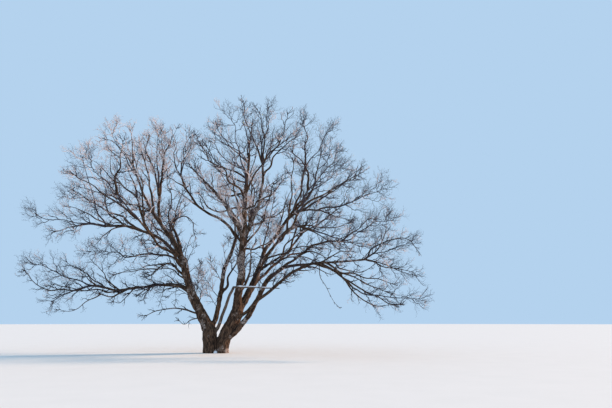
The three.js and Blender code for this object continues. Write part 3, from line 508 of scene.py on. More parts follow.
def path_of(grown, crook):
    path = round_curve(grown["line"].points)
    sway = np.stack([noise_along(path.along, CROOK_LENGTH, CROOK_SHIFT * grown["seed"], axis + 0.5)
                     for axis in range(3)], -1)
    ends = np.minimum(path.along, path.length - path.along)
    sway *= crook * np.clip(ends / CROOK_FADE, 0, 1)[:, None]
    shift = np.zeros(3)
    if grown["carrier"] is not None:
        carrier = grown["carrier"]["path"]
        shift = carrier.at(carrier.length * grown["at"]) - path.points[0]
    back = np.exp(-(path.along / FOOT_FADE) ** 2)[:, None]
    return Line(path.points + sway + back * shift)


STEM_CROOK = 0.05
BOUGH_CROOK = 0.12
MASS_CROOK = 0.2
SIDE_CROOK = 0.24
STEM_THICKNESS = 0.38  # a limb or a mass's stem at least this thick at its foot is a stem
TIP_TO_STEM = 0.9  # thickness of a mass's stem, as a share of its carrier's tip
MASS_TIP = 0.06


def is_stem(grown):
    return grown["carrier"] is not None and grown["thick"][0] >= STEM_THICKNESS


def is_dead(grown):
    return grown["name"].startswith("dead")


def crook_of(grown):
    if grown["reach"]:
        return MASS_CROOK
    return STEM_CROOK if is_stem(grown) or is_dead(grown) else BOUGH_CROOK


# Trunks, limbs, masses and side limbs, each on its carrier: a limb's place in the order is its
# seed
def grow_skeleton():
    skeleton = {}
    for spec in TRUNKS:
        new = grow_trunk(spec, len(skeleton))
        new["path"] = path_of(new, 0)
        skeleton[new["name"]] = new
    for spec in LIMBS + MASSES:
        carrier = skeleton[spec["carrier"]]
        new = grow_limb(spec, carrier, carrier["line"], len(skeleton))
        if new["reach"]:
            new["thick"] = (max(MASS_THICKNESS[0], TIP_TO_STEM * carrier["thick"][1]), MASS_TIP)
        new["path"] = path_of(new, crook_of(new))
        skeleton[new["name"]] = new
    for spec in SIDE_LIMBS:
        carrier = skeleton[spec["carrier"]]
        new = grow_limb(spec, carrier, carrier["path"], len(skeleton))
        new["path"] = path_of(new, SIDE_CROOK)
        skeleton[new["name"]] = new
    return skeleton


# Radius of a limb at a distance along it: an even taper with a swollen collar at the foot
def radius_at(grown, distance):
    share = np.clip(distance / grown["path"].length, 0, 1)
    even = 0.5 * mix(grown["thick"][0], grown["thick"][1], share)
    if grown["carrier"] is None:
        return even
    return even * (1 + COLLAR_SWELL * np.exp(-distance / grown["thick"][0]))


# Directions round a line of points: along it, sideways with as little turn as can be, across
ALONG_X = 0.8  # a line that sets out along X more than this takes its first side from Y


def frames_along(points):
    along = unit(np.gradient(points, axis=0))
    side = np.array([1.0, 0.0, 0.0] if abs(along[0, 0]) < ALONG_X else [0.0, 1.0, 0.0])
    sides = []
    for direction in along:
        side = unit(side - side.dot(direction) * direction)
        sides.append(side)
    sides = np.array(sides)
    return along, sides, np.cross(along, sides)


def angles_round(corners):
    return 2 * np.pi * np.arange(corners) / corners


# From the centres of many rings to their corners, by the sideways and across directions
def outward_of(sides, across, corners):
    around = angles_round(corners)[:, None]
    return np.cos(around) * sides[:, None] + np.sin(around) * across[:, None]


# Rings of corners round a line of points, and each corner's outward direction
def rings_round(points, radius):
    _, sides, across = frames_along(points)
    outward = outward_of(sides, across, radius.shape[1])
    return points[:, None] + radius[..., None] * outward, outward


def ring_triangles(rings, corners):
    ring = np.arange(rings - 1)[:, None] * corners
    a = (ring + np.arange(corners)).ravel()
    b = (ring + (np.arange(corners) + 1) % corners).ravel()
    return np.vstack([np.stack([a, b, a + corners], 1), np.stack([b, b + corners, a + corners], 1)])


def cap_triangles(first, corners):
    return np.array([[first, first + k, first + k + 1] for k in range(1, corners - 1)])


def tube_triangles(rings, corners):
    return np.vstack([ring_triangles(rings, corners), cap_triangles(0, corners)[:, ::-1],
                      cap_triangles((rings - 1) * corners, corners)])


# How deep in a furrow of the bark a place lies, from 0 to 1: the furrows run along a limb,
# wander and join
FURROW_WIDTH = 0.085
FURROW_LENGTH = 0.42
FURROW_SHARE = 0.3
FURROW_EDGE = 0.8  # below 1 a furrow's sides are steeper at its rim
FURROW_SHIFT = 9.1  # in the noise, from one limb's furrows to the next one's
BEND_SCALE = (0.35, 0.35, 1.3)  # of the noise that makes the furrows wander
BEND_SHIFT = 5.0
BEND = (0.9, -0.7, 0.3)  # how far they wander


def furrow_at(around, distance, radius, seed):
    places = np.stack(np.broadcast_arrays(
        radius * np.cos(around) / FURROW_WIDTH, radius * np.sin(around) / FURROW_WIDTH,
        distance / FURROW_LENGTH + FURROW_SHIFT * seed), -1)
    bend = noise_at(places * BEND_SCALE + BEND_SHIFT)[..., None]
    ridge = np.abs(noise_at(places + bend * BEND))
    return np.clip(1 - ridge / FURROW_SHARE, 0, 1) ** FURROW_EDGE


# Lumps in the bark, and finer ones on them
BARK_LUMPS = 0.3
FINE_LUMPS = 2.3  # how many times finer
FINE_LUMP_SHIFT = 4.0
FINE_LUMP_HEIGHT = 0.5


def lumps_at(places):
    fine = noise_at(FINE_LUMPS * places / BARK_LUMPS + FINE_LUMP_SHIFT)
    return noise_at(places / BARK_LUMPS) + FINE_LUMP_HEIGHT * fine


# The last rings of a tube that ends in a rounded tip
DOME_RISE = (0.5, 0.85)  # shares of the radius
DOME_WIDTH = (0.85, 0.45)


def domed(points, radius, heading):
    rise = np.outer(DOME_RISE, heading) * radius[-1].mean()
    points = np.vstack([points, points[-1] + rise])
    return points, np.vstack([radius, np.outer(DOME_WIDTH, radius[-1])])


FURROW_DEPTH = 0.06  # as a share of the radius, on a limb's tube
LUMP_HEIGHT = 0.09


# A limb's tube up to a distance along it: vertices, triangles and depth in the furrows
def limb_tube(grown, corners, until=None, tip=1.0, rounded=False):
    path = grown["path"]
    until = path.length if until is None else until
    distance = np.append(path.along[path.along < until - 0.5 * PATH_STEP], until)
    points = path.at(distance)
    radius = radius_at(grown, distance) * np.linspace(1, tip, len(distance))
    radius = np.repeat(radius[:, None], corners, 1)
    if rounded:
        points, radius = domed(points, radius, path.heading(until))
        distance = np.append(distance, [until] * len(DOME_RISE))
    surface, outward = rings_round(points, radius)
    furrow = furrow_at(angles_round(corners), distance[:, None], radius, grown["seed"])
    relief = radius * (LUMP_HEIGHT * lumps_at(surface) - FURROW_DEPTH * furrow)
    surface += relief[..., None] * outward
    return surface.reshape(-1, 3), tube_triangles(len(points), corners), furrow.ravel()


# Many tubes as one
def joined(tubes):
    vertices, triangles, furrows = zip(*tubes)
    starts = np.cumsum([0] + [len(part) for part in vertices[:-1]])
    triangles = [part + start for part, start in zip(triangles, starts)]
    return np.vstack(vertices), np.vstack(triangles), np.concatenate(furrows)


def set_values(mesh, name, values):
    mesh.attributes.new(name, "FLOAT", "POINT").data.foreach_set("value", values.astype("f"))


def new_mesh(name, vertices, triangles, furrow=None):
    mesh = bpy.data.meshes.new(name)
    mesh.from_pydata(vertices.tolist(), [], triangles.tolist(), shade_flat=False)
    if furrow is not None:
        set_values(mesh, "furrow", furrow)
        set_values(mesh, "pale", paleness_at(vertices))
    return mesh


def put_in_scene(name, data):
    thing = bpy.data.objects.new(name, data)
    bpy.context.scene.collection.objects.link(thing)
    return thing


def new_piece(name, mesh, material):
    mesh.materials.clear()
    mesh.materials.append(material)
    piece = put_in_scene(name, mesh)
    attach(piece, "root")
    return piece


# The trunk and stems: their tubes, with the collars of what they carry, fused and smoothed
TRUNK_CORNERS = 32
STEM_CORNERS = 20
COLLAR_CORNERS = 12
TRUNK_VOXEL = 0.031
TRUNK_SMOOTHING = 9
BURIED = 0.2  # the tubes start this far below the ground, and are then cut level
COLLAR_LENGTH = 2.6  # of a bough's collar beyond its carrier's axis, in thicknesses of the bough
LONGEST_COLLAR = 0.5  # as a share of the bough
COLLAR_TIP = 0.8  # extra taper of a collar at its tip


def trunk_tube(trunk):
    path = trunk["path"]
    fade = np.exp(-path.points[:, 2] / FLARE_HEIGHT)
    lobes = 1 + LOBE * fade[:, None] * np.cos(LOBES * angles_round(TRUNK_CORNERS) + trunk["seed"])
    radius = (radius_at(trunk, path.along) * (1 + FLARE * fade))[:, None] * lobes
    points = np.vstack([path.points[:1] - BURIED * UP, path.points])
    radius = np.vstack([radius[:1], radius])
    points, radius = domed(points, radius, path.heading(path.length))
    surface, _ = rings_round(points, radius)
    return surface.reshape(-1, 3), tube_triangles(len(points), TRUNK_CORNERS), np.zeros(radius.size)


def fused_mesh(tubes):
    vertices, triangles, _ = joined(tubes)
    rough = put_in_scene("rough_trunk", new_mesh("rough_trunk", vertices, triangles))
    remesh = rough.modifiers.new("Fuse", "REMESH")
    remesh.mode = "VOXEL"
    remesh.voxel_size = TRUNK_VOXEL
    smooth = rough.modifiers.new("Smooth", "SMOOTH")
    smooth.iterations = TRUNK_SMOOTHING
    graph = bpy.context.evaluated_depsgraph_get()
    mesh = bpy.data.meshes.new_from_object(rough.evaluated_get(graph))
    bpy.data.objects.remove(rough)
    return mesh


# Bark on the fused mesh: each vertex takes the furrows of the limbs that it lies nearest to
DEEPEST_FURROW = 0.024  # on a limb at least 1 m thick
SHALLOWEST_FURROW = 0.008
TRUNK_LUMPS = 0.9  # height of the lumps as a share of the furrows' depth
BLEND_SHARPNESS = 9
CREASE_WIDTH = 0.07  # of the crease between the two trunks, in radii of a trunk
CREASE_DEPTH = 0.05
CREASE_TOP = 1.15  # height over the ground where the crease has run out
CREASE_FADE = 0.3


def furrows_on(places, limbs):
    closeness = []
    furrows = []
    depths = []
    for grown in limbs:
        path = grown["path"]
        along, sides, across = frames_along(path.points)
        squares = ((places ** 2).sum(1)[:, None] + (path.points ** 2).sum(1)[None]
                   - 2 * places @ path.points.T)
        nearest = squares.argmin(1)
        offset = places - path.points[nearest]
        ahead = (offset * along[nearest]).sum(1)
        around = np.arctan2((offset * across[nearest]).sum(1), (offset * sides[nearest]).sum(1))
        radius = radius_at(grown, path.along[nearest])
        closeness.append(np.linalg.norm(offset, axis=1) / radius)
        furrows.append(furrow_at(around, path.along[nearest] + ahead, radius, grown["seed"]))
        depths.append(mix(SHALLOWEST_FURROW, DEEPEST_FURROW, np.clip(2 * radius, 0, 1)))
    closeness = np.array(closeness)
    weights = np.exp(BLEND_SHARPNESS * (closeness.min(0) - closeness))
    weights /= weights.sum(0)
    # The crease is carved, and its value also joins the furrows', so the bark there is painted darker
    # as shade
    between_trunks = (closeness[0] - closeness[1]) / CREASE_WIDTH
    crease = np.exp(-between_trunks ** 2) * np.clip((CREASE_TOP - places[:, 2]) / CREASE_FADE, 0, 1)
    furrow = (weights * furrows).sum(0)
    depth = (weights * depths).sum(0) + CREASE_DEPTH * crease
    return np.maximum(furrow, crease), depth


# Where lichen and rime cover more of the bark: centre, size and how much more
PALE_PLACES = (((1.7, -0.3, 6.1), 1.2, 0.2), ((-1.7, -0.3, 3.9), 0.7, 0.08),
               ((0.8, -0.5, 0.5), 0.55, 0.06), ((1.8, -0.5, 9.5), 3.0, 0.14),
               ((-6.0, -1.0, 13.0), 3.5, 0.12))


# 1 at a centre, falling off round it
def nearness(places, centre, size):
    return np.exp(-(np.linalg.norm(places - centre, axis=1) / size) ** 2)


def paleness_at(places):
    pale = np.zeros(len(places))
    for centre, size, extra in PALE_PLACES:
        pale = np.maximum(pale, extra * nearness(places, centre, size))
    return pale


def carve_bark(mesh, limbs):
    places = np.empty(len(mesh.vertices) * 3, "f")
    normals = np.empty(len(mesh.vertices) * 3, "f")
    mesh.vertices.foreach_get("co", places)
    mesh.vertices.foreach_get("normal", normals)
    places = places.reshape(-1, 3).astype(float)
    furrow, depth = furrows_on(places, limbs)
    lift = depth * (TRUNK_LUMPS * lumps_at(places) - furrow)
    places += lift[:, None] * normals.reshape(-1, 3)
    mesh.vertices.foreach_set("co", places.ravel().astype("f"))
    set_values(mesh, "furrow", furrow)
    set_values(mesh, "pale", paleness_at(places))


def cut_level(mesh):
    work = bmesh.new()
    work.from_mesh(mesh)
    everything = work.verts[:] + work.edges[:] + work.faces[:]
    cut = bmesh.ops.bisect_plane(work, geom=everything, plane_co=(0, 0, 0), plane_no=(0, 0, -1),
                                 clear_outer=True)
    rim = [item for item in cut["geom_cut"] if isinstance(item, bmesh.types.BMEdge)]
    bmesh.ops.holes_fill(work, edges=rim, sides=0)
    bmesh.ops.triangulate(work, faces=[face for face in work.faces if len(face.verts) > 4])
    work.to_mesh(mesh)
    work.free()


def make_trunk(skeleton, material):
    trunks = [skeleton[spec["name"]] for spec in TRUNKS]
    stems = [grown for grown in skeleton.values() if is_stem(grown)]
    tubes = [trunk_tube(trunk) for trunk in trunks]
    tubes += [limb_tube(stem, STEM_CORNERS, rounded=True) for stem in stems]
    for grown in skeleton.values():
        carrier = grown["carrier"]
        if any(carrier is other for other in trunks + stems) and not is_stem(grown):
            collar = 0.5 * carrier["thick"][1] + COLLAR_LENGTH * grown["thick"][0]
            collar = min(collar, LONGEST_COLLAR * grown["path"].length)
            tubes.append(limb_tube(grown, COLLAR_CORNERS, collar, COLLAR_TIP, rounded=True))
    mesh = fused_mesh(tubes)
    carve_bark(mesh, trunks + stems)
    cut_level(mesh)
    mesh.polygons.foreach_set("use_smooth", np.ones(len(mesh.polygons), bool))
    piece = new_piece("trunk_bark", mesh, material)
    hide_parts("trunk", *[stem["name"] for stem in stems])


# Boughs: one piece each, with the side limbs that grow from it
BOUGH_CORNERS = 12
SIDE_LIMB_CORNERS = 7
SIDE_LIMB_TIP = 0.5  # extra taper of a side limb's or a mass's tube at its tip
FORK_SHARE = 0.8  # a side limb that carries another past this share of its length lacks it


# The limb that a side limb grows from, past other side limbs
def bearer_of(grown):
    while grown["name"] in SIDE_NAMES:
        grown = grown["carrier"]
    return grown


def make_boughs(skeleton, bark, dead_wood):
    boughs = [grown for grown in skeleton.values()
              if grown["carrier"] is not None and not grown["reach"] and not is_stem(grown)]
    tubes = {bough["name"]: [limb_tube(bough, BOUGH_CORNERS, rounded=is_dead(bough))]
             for bough in boughs}
    forked = {spec["carrier"] for spec in SIDE_LIMBS if spec["at"] > FORK_SHARE}
    on_stems = []
    for name in SIDE_NAMES:
        tip = 1.0 if name in forked else SIDE_LIMB_TIP
        tube = limb_tube(skeleton[name], SIDE_LIMB_CORNERS, tip=tip)
        tubes.get(bearer_of(skeleton[name])["name"], on_stems).append(tube)
    for bough in boughs:
        name = bough["name"]
        mesh = new_mesh(name, *joined(tubes[name]))
        if is_dead(bough):
            piece = new_piece(name + "_wood", mesh, dead_wood)
        else:
            piece = new_piece(name + "_bark", mesh, bark)
        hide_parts(name)
    new_piece("side_limbs_on_stems", new_mesh("side_limbs", *joined(on_stems)), bark)


# Twigs. Each order grows from the one before by the rule of the masses: a twig leaves at an
# angle, turned round its carrier from one twig to the next, and bends towards the sky
TWIG_SEED = 5
MASS_SPACING = 0.3  # between twigs of the first order on a mass's stem
SIDE_SPACING = 0.38
BOUGH_SPACING = 0.55
BOUGH_REACH = 1.5  # length of the twigs straight on a bough
FIRST_ORDER = dict(width=(0.04, 0.085), stretches=11, sway=0.5, waves=2.1)
FINER_ORDERS = (
    dict(count=8, spacing=0.2, length=0.62, width=(0.018, 0.028), stretches=5, sway=0.45, waves=1.4),
    dict(count=6, spacing=0.15, length=0.55, width=(0.009, 0.012), stretches=2, sway=0.35, waves=0.5),
    dict(count=2, spacing=0.15, length=0.7, width=(0.007, 0.009), stretches=1, sway=0, waves=0),
)
FAN_TWIGS = 3  # twigs that spread from the tip of a limb, on from the ones along it
FAN_ANGLE = (20, 75)
FAN_START = 0.9  # share of the limb's length where the fan's first twig leaves
FAN_STEP = 0.03
CROWN_HEART = (0.5, 0.0, 4.5)
OUTWARD_BEND = 0.35  # how much a twig bends away from the heart of the crown
SWAY_RATIO = 1.7  # of a twig's waves across, over those to the side
STEEP = 0.1  # a direction whose level part is shorter than this has no side of its own
TWIG_CORNERS = (4, 3, 3, 3)  # of the orders' tubes
TWIG_TAPER = 0.65  # thickness lost along a twig before its point


def branch_off(direction, angle, roll):
    side = np.cross(direction, UP)
    steep = np.linalg.norm(side, axis=-1, keepdims=True) < STEEP
    side = unit(np.where(steep, (1.0, 0.0, 0.0), side))
    angle, roll = angle[..., None], roll[..., None]
    turned = side * np.cos(roll) + np.cross(direction, side) * np.sin(roll)
    return unit(direction * np.cos(angle) + np.cross(turned, direction) * np.sin(angle))


# Points along each twig, which bends upwards and outwards and winds
def bent_points(feet, directions, lengths, order, random):
    stretches = order["stretches"]
    step = lengths[:, None] / stretches
    bend = TWIG_LIFT * UP + OUTWARD_BEND * unit(feet - CROWN_HEART)
    phase = 2 * np.pi * random.uniform(size=(2, len(feet)))
    side = branch_off(directions, np.full(len(feet), np.pi / 2), phase[0])
    across = np.cross(directions, side)
    points = [feet]
    heading = directions
    for k in range(stretches):
        heading = unit(heading + bend / stretches)
        turn = phase[1] + 2 * np.pi * order["waves"] * k / stretches
        sway = np.cos(turn)[:, None] * side + np.sin(SWAY_RATIO * turn)[:, None] * across
        points.append(points[-1] + step * unit(heading + order["sway"] * sway))
    return np.stack(points, 1)


# True where a twig stays within the solids' box and above the lowest twigs
def within_crown(points):
    low = np.array(cad_box[0])
    low[2] = LOWEST_TWIG
    return ((points > low) & (points < np.array(cad_box[1]))).all(axis=(1, 2))


# Parts of the crown, which get pieces of their own: by where a limb's tip lies
REGIONS = ("left", "right", "centre", "front", "back")
BACK_FROM = 4.0
FRONT_FROM = -4.9
LEFT_FROM = -3.0
RIGHT_FROM = 6.0


def region_of(grown):
    x, y, _ = grown["tip"]
    if y > BACK_FROM:
        return REGIONS.index("back")
    if y < FRONT_FROM:
        return REGIONS.index("front")
    if x < LEFT_FROM:
        return REGIONS.index("left")
    return REGIONS.index("right" if x > RIGHT_FROM else "centre")


# Where a limb's first twig leaves, the usual spacing of its twigs and their reach
def twig_rule(grown):
    if grown["name"] in MASS_NAMES:
        return FIRST_TWIG, MASS_SPACING, grown["reach"]
    if grown["reach"]:
        return BARE.get(grown["name"], BARE_SIDE_LIMB), SIDE_SPACING, grown["reach"]
    return BARE.get(grown["name"], BARE_BOUGH), BOUGH_SPACING, BOUGH_REACH


def first_twigs(grown, random):
    path = grown["path"]
    first, spacing, reach = twig_rule(grown)
    count = int((LAST_TWIG - first) * path.length / (spacing * SPACING.get(grown["name"], 1)))
    share = mix(first, LAST_TWIG, np.arange(count) / max(1, count - 1))
    angle = mix(*TWIG_ANGLE, random.uniform(size=count))
    if grown["reach"]:
        share = np.append(share, FAN_START + FAN_STEP * np.arange(FAN_TWIGS))
        angle = np.append(angle, mix(*FAN_ANGLE, random.uniform(size=FAN_TWIGS)))
        count += FAN_TWIGS
    distance = share * path.length
    roll = np.arange(count) * GOLDEN_ANGLE + ROLL_SPREAD * random.uniform(size=count)
    direction = branch_off(path.heading(distance), np.radians(angle), np.radians(roll))
    length = reach * mix(*TWIG_LENGTH, share) * mix(*LENGTH_SPREAD, random.uniform(size=count))
    width = np.clip(2 * radius_at(grown, distance) * TWIG_THICKNESS, *FIRST_ORDER["width"])
    points = bent_points(path.at(distance), direction, length, FIRST_ORDER, random)
    return dict(points=points, length=length, width=width, region=np.full(count, region_of(grown)))


def kept(twigs, keep):
    return {key: values[keep] for key, values in twigs.items()}


# Twigs on twigs: a long carrier bears more of them than a short one
def next_order(carriers, order, random):
    shape = (len(carriers["length"]), order["count"])
    slot = np.arange(order["count"])
    count = np.clip(np.round(carriers["length"] / order["spacing"]), 1, order["count"])[:, None]
    share = (slot + random.uniform(size=shape)) / count
    borne = (slot < count).ravel()
    share = mix(FIRST_TWIG, LAST_TWIG, np.minimum(share, 1))
    place = share * (carriers["points"].shape[1] - 1)
    i = place.astype(int)
    row = np.arange(shape[0])[:, None]
    start = carriers["points"][row, i]
    end = carriers["points"][row, i + 1]
    feet = start + (end - start) * (place - i)[..., None]
    angle = mix(*TWIG_ANGLE, random.uniform(size=shape))
    roll = (slot * GOLDEN_ANGLE + ROLL_SPREAD * random.uniform(size=shape)
            + 360 * random.uniform(size=(shape[0], 1)))
    direction = branch_off(unit(end - start), np.radians(angle), np.radians(roll))
    length = (carriers["length"][:, None] * order["length"] * mix(*TWIG_LENGTH, share)
              * mix(*LENGTH_SPREAD, random.uniform(size=shape)))
    width = carriers["width"][:, None] * (1 - TWIG_TAPER * share) * TWIG_THICKNESS
    twigs = {key: np.repeat(carriers[key], order["count"], 0) for key in ("region", "rimed")}
    twigs["length"] = length.ravel()
    twigs["width"] = np.clip(width.ravel(), *order["width"])
    twigs["points"] = bent_points(feet.reshape(-1, 3), direction.reshape(-1, 3), twigs["length"],
                                  order, random)
    return kept(twigs, borne & within_crown(twigs["points"]))


# Rime lies on whole sprays and on some of the twigs that bear them, most of them in these
# places high on the left and in the middle of the crown: centre and size
RIME_PLACES = (((-7.2, -1.0, 14.0), 5.0), ((1.5, -1.0, 10.5), 3.4), ((-0.5, 0.0, 5.0), 1.5))
RIME_CHANCE = 0.9
RIME_ANYWHERE = 0.1  # least chance of rime on a spray
RIME_ON_BEARERS = 0.6  # chance of rime on a twig that bears sprays, over that on a spray
RIME_COAT = 0.012


# Deals out rime: a share of the chance at each twig's place, but at least the least chance
def add_rime(twigs, share, least, random):
    chance = np.zeros(len(twigs["length"]))
    for centre, size in RIME_PLACES:
        chance = np.maximum(chance, RIME_CHANCE * nearness(twigs["points"][:, -1], centre, size))
    twigs["rimed"] = random.uniform(size=len(chance)) < np.maximum(share * chance, least)


# All orders of twigs. Those of the third and the fourth order are rimed as their spray is
def grow_twigs(skeleton):
    random = np.random.RandomState(TWIG_SEED)
    first = [first_twigs(grown, random) for grown in skeleton.values() if grown["carrier"] is not None]
    twigs = {key: np.concatenate([some[key] for some in first]) for key in first[0]}
    twigs = kept(twigs, within_crown(twigs["points"]))
    add_rime(twigs, RIME_ON_BEARERS, 0, random)
    orders = [twigs]
    for order in FINER_ORDERS:
        orders.append(next_order(orders[-1], order, random))
        if order is FINER_ORDERS[0]:
            add_rime(orders[-1], 1, RIME_ANYWHERE, random)
    return orders


# Closed twigs, four-sided in the first order and three-sided in the others, that taper to a
# point
def twig_tubes(twigs, corners):
    points = twigs["points"]
    rings = points.shape[1] - 1
    chord = unit(points[:, -1] - points[:, 0])
    side = branch_off(chord, np.full(len(chord), np.pi / 2), np.zeros(len(chord)))
    outward = outward_of(side, np.cross(chord, side), corners)
    radius = 0.5 * twigs["width"][:, None] * (1 - TWIG_TAPER * np.arange(rings) / rings)
    ring = points[:, :rings, None] + radius[..., None, None] * outward[:, None]
    vertices = np.concatenate([ring.reshape(len(points), -1, 3), points[:, -1:]], 1)
    last = (rings - 1) * corners
    fan = np.array([[last + k, last + (k + 1) % corners, rings * corners] for k in range(corners)])
    one = np.vstack([ring_triangles(rings, corners), cap_triangles(0, corners)[:, ::-1], fan])
    triangles = np.arange(len(points))[:, None, None] * vertices.shape[1] + one
    vertices = vertices.reshape(-1, 3)
    return vertices, triangles.reshape(-1, 3), np.zeros(len(vertices))


MASS_STEM_CORNERS = 6


# For each part of the crown: the masses' stems with the bare twigs of the first order, the
# finer bare twigs, and the rimed twigs of all orders
def make_twigs(skeleton, materials):
    orders = grow_twigs(skeleton)
    for r, region in enumerate(REGIONS):
        masses = [skeleton[name] for name in MASS_NAMES if region_of(skeleton[name]) == r]
        stems = [limb_tube(mass, MASS_STEM_CORNERS, tip=SIDE_LIMB_TIP) for mass in masses]
        parts = dict(branches=stems, bare_twigs=[], rimed_twigs=[])
        for i, (order, corners) in enumerate(zip(orders, TWIG_CORNERS)):
            here = order["region"] == r
            bare = kept(order, here & ~order["rimed"])
            rimed = kept(order, here & order["rimed"])
            rimed["width"] = rimed["width"] + RIME_COAT
            parts["bare_twigs" if i else "branches"].append(twig_tubes(bare, corners))
            parts["rimed_twigs"].append(twig_tubes(rimed, corners))
        for kind, tubes in parts.items():
            name = kind + "_" + region
            vertices, triangles, _ = joined(tubes)
            piece = new_piece(name, new_mesh(name, vertices, triangles), materials[kind])
            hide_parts(*[mass["name"] for mass in masses])


# Snow along the top of the dead limb
SNOW_CORNERS = 10
SNOW_FROM = 0.12  # distance from the limb's foot
SNOW_TO = 0.1  # distance from its tip
SNOW_STEP = 0.06
SNOW_HALF_WIDTH = 0.045
SNOW_HEIGHT = 0.045
SNOW_FADE = 0.6  # distance over which it thins out towards either end
SNOW_FADE_POWER = 0.7
SNOW_UNEVEN = 0.9
SNOW_WAVE = 0.22
SNOW_SEAT = 1.05  # height of its middle over the limb's, in radii of the limb


def make_snow(dead_limb, material):
    path = dead_limb["path"]
    distance = np.arange(SNOW_FROM, path.length - SNOW_TO, SNOW_STEP)
    points = path.at(distance)
    along, _, _ = frames_along(points)
    sides = unit(np.cross(along, UP))
    across = np.cross(along, sides)
    across *= np.sign(across[:, 2:])
    fade = np.minimum(1, np.minimum(distance, distance[::-1]) / SNOW_FADE) ** SNOW_FADE_POWER
    size = (fade * (1 + SNOW_UNEVEN * noise_along(distance, SNOW_WAVE, 0.5, 0.5)))[:, None]
    points = points + (radius_at(dead_limb, distance) * SNOW_SEAT)[:, None] * UP
    wide = SNOW_HALF_WIDTH * size * sides
    high = SNOW_HEIGHT * size * across
    surface = (points[:, None] + outward_of(wide, high, SNOW_CORNERS)).reshape(-1, 3)
    mesh = new_mesh("snow_on_dead_limb", surface, tube_triangles(len(points), SNOW_CORNERS))
    new_piece("snow_on_dead_limb", mesh, material)


# A little snow in the notch between the trunks' feet: a heap that leans back
NOTCH_SNOW_PLACE = (0.03, -0.46, 0)
NOTCH_SNOW_SIZE = (0.13, 0.1, 0.2)
NOTCH_SNOW_RINGS = 6
NOTCH_SNOW_UNEVEN = 0.15
NOTCH_SNOW_WAVES = 3
NOTCH_SNOW_TWIST = 4  # turn of the waves over the heap's height, in radians


def make_notch_snow(material):
    rise = np.linspace(0, 1, NOTCH_SNOW_RINGS + 1)[:-1, None]
    around = angles_round(SNOW_CORNERS)
    uneven = 1 + NOTCH_SNOW_UNEVEN * np.sin(NOTCH_SNOW_WAVES * around + NOTCH_SNOW_TWIST * rise)
    width = np.sqrt(1 - rise ** 2) * uneven
    heap = np.stack([width * np.cos(around), width * np.sin(around) + rise, rise + 0 * width], -1)
    surface = (NOTCH_SNOW_SIZE * heap + NOTCH_SNOW_PLACE).reshape(-1, 3)
    mesh = new_mesh("snow_in_notch", surface, tube_triangles(NOTCH_SNOW_RINGS, SNOW_CORNERS))
    new_piece("snow_in_notch", mesh, material)


# Materials: colours from six-digit codes, and nodes on one principled shader
SPECULAR = 0.2
MIX_COLOURS = (6, 7)  # the mix node's sockets for colours, which share their names with others
MIX_RESULT = 2


def colour(code):
    parts = [int(code[i:i + 2], 16) / 255 for i in (0, 2, 4)]
    return tuple(part / 12.92 if part <= 0.04045 else ((part + 0.055) / 1.055) ** 2.4
                 for part in parts) + (1.0,)


class Finish:
    """A material with one principled shader, and the nodes that drive it."""

    def __init__(self, name, roughness):
        self.material = bpy.data.materials.new(name)
        self.material.use_nodes = True
        self.tree = self.material.node_tree
        self.shader = self.tree.nodes["Principled BSDF"]
        self.feed(self.shader, {"Roughness": roughness, "Specular IOR Level": SPECULAR})
        self.place = self.node("TexCoord", {}).outputs["Object"]

    def feed(self, node, inputs):
        for socket, value in inputs.items():
            if isinstance(value, bpy.types.NodeSocket):
                self.tree.links.new(value, node.inputs[socket])
            else:
                node.inputs[socket].default_value = value

    def node(self, kind, inputs, **settings):
        node = self.tree.nodes.new("ShaderNode" + kind)
        for name, value in settings.items():
            setattr(node, name, value)
        self.feed(node, inputs)
        return node

    def noise(self, scale, detail=4.0, rough=0.55, stretch=(1, 1, 1)):
        mapping = self.node("Mapping", {"Vector": self.place, "Scale": stretch})
        inputs = {"Vector": mapping.outputs["Vector"], "Scale": scale, "Detail": detail,
                  "Roughness": rough}
        return self.node("TexNoise", inputs).outputs["Fac"]

    def attribute(self, name):
        return self.node("Attribute", {}, attribute_name=name).outputs["Fac"]

    def steps(self, value, low, high):
        inputs = {"Value": value, "From Min": low, "From Max": high}
        return self.node("MapRange", inputs, interpolation_type="SMOOTHSTEP").outputs["Result"]

    def blend(self, share, a, b):
        inputs = {"Factor": share, MIX_COLOURS[0]: a, MIX_COLOURS[1]: b}
        return self.node("Mix", inputs, data_type="RGBA").outputs[MIX_RESULT]

    def maths(self, operation, a, b):
        return self.node("Math", {0: a, 1: b}, operation=operation).outputs[0]

    def paint(self, output):
        self.feed(self.shader, {"Base Color": output})

    def bump(self, height, distance, strength):
        node = self.node("Bump", {"Height": height, "Distance": distance, "Strength": strength})
        self.feed(self.shader, {"Normal": node.outputs["Normal"]})


# The furrow colour of each bark is painted shade: the bark darkens towards it in the furrows and in
# the crease between the trunks
BARK = dict(dark="1b1310", light="745b49", furrow="0d0807", lichen="b8aaa2", coverage=0.43)
BOUGH_BARK = dict(dark="201815", light="675241", furrow="110c0b", lichen="b0a29b", coverage=0.42)
DEAD_WOOD = dict(dark="453a34", light="75665b", furrow="2b2420", lichen="b9b0aa", coverage=0.44)
BARK_ROUGHNESS = 0.93
BARK_STREAKS = dict(scale=14.0, detail=6.0, rough=0.65, stretch=(1, 1, 0.25))
BARK_GRAIN = dict(scale=45.0, detail=8.0, rough=0.7, stretch=(1, 1, 0.4))
LICHEN_PATCHES = dict(scale=1.7, detail=5.0, rough=0.6)
LICHEN_SPECKS = dict(scale=15.0, detail=5.0, rough=0.6)
LICHEN_EDGE = 0.12  # how softly the patches end
STREAK_STEPS = (0.3, 0.7)
SPECK_STEPS = (0.38, 0.62)
# How far the bark darkens towards the furrow colour, as painted shade in the furrows
PAINTED_FURROW_SHADE = 0.8


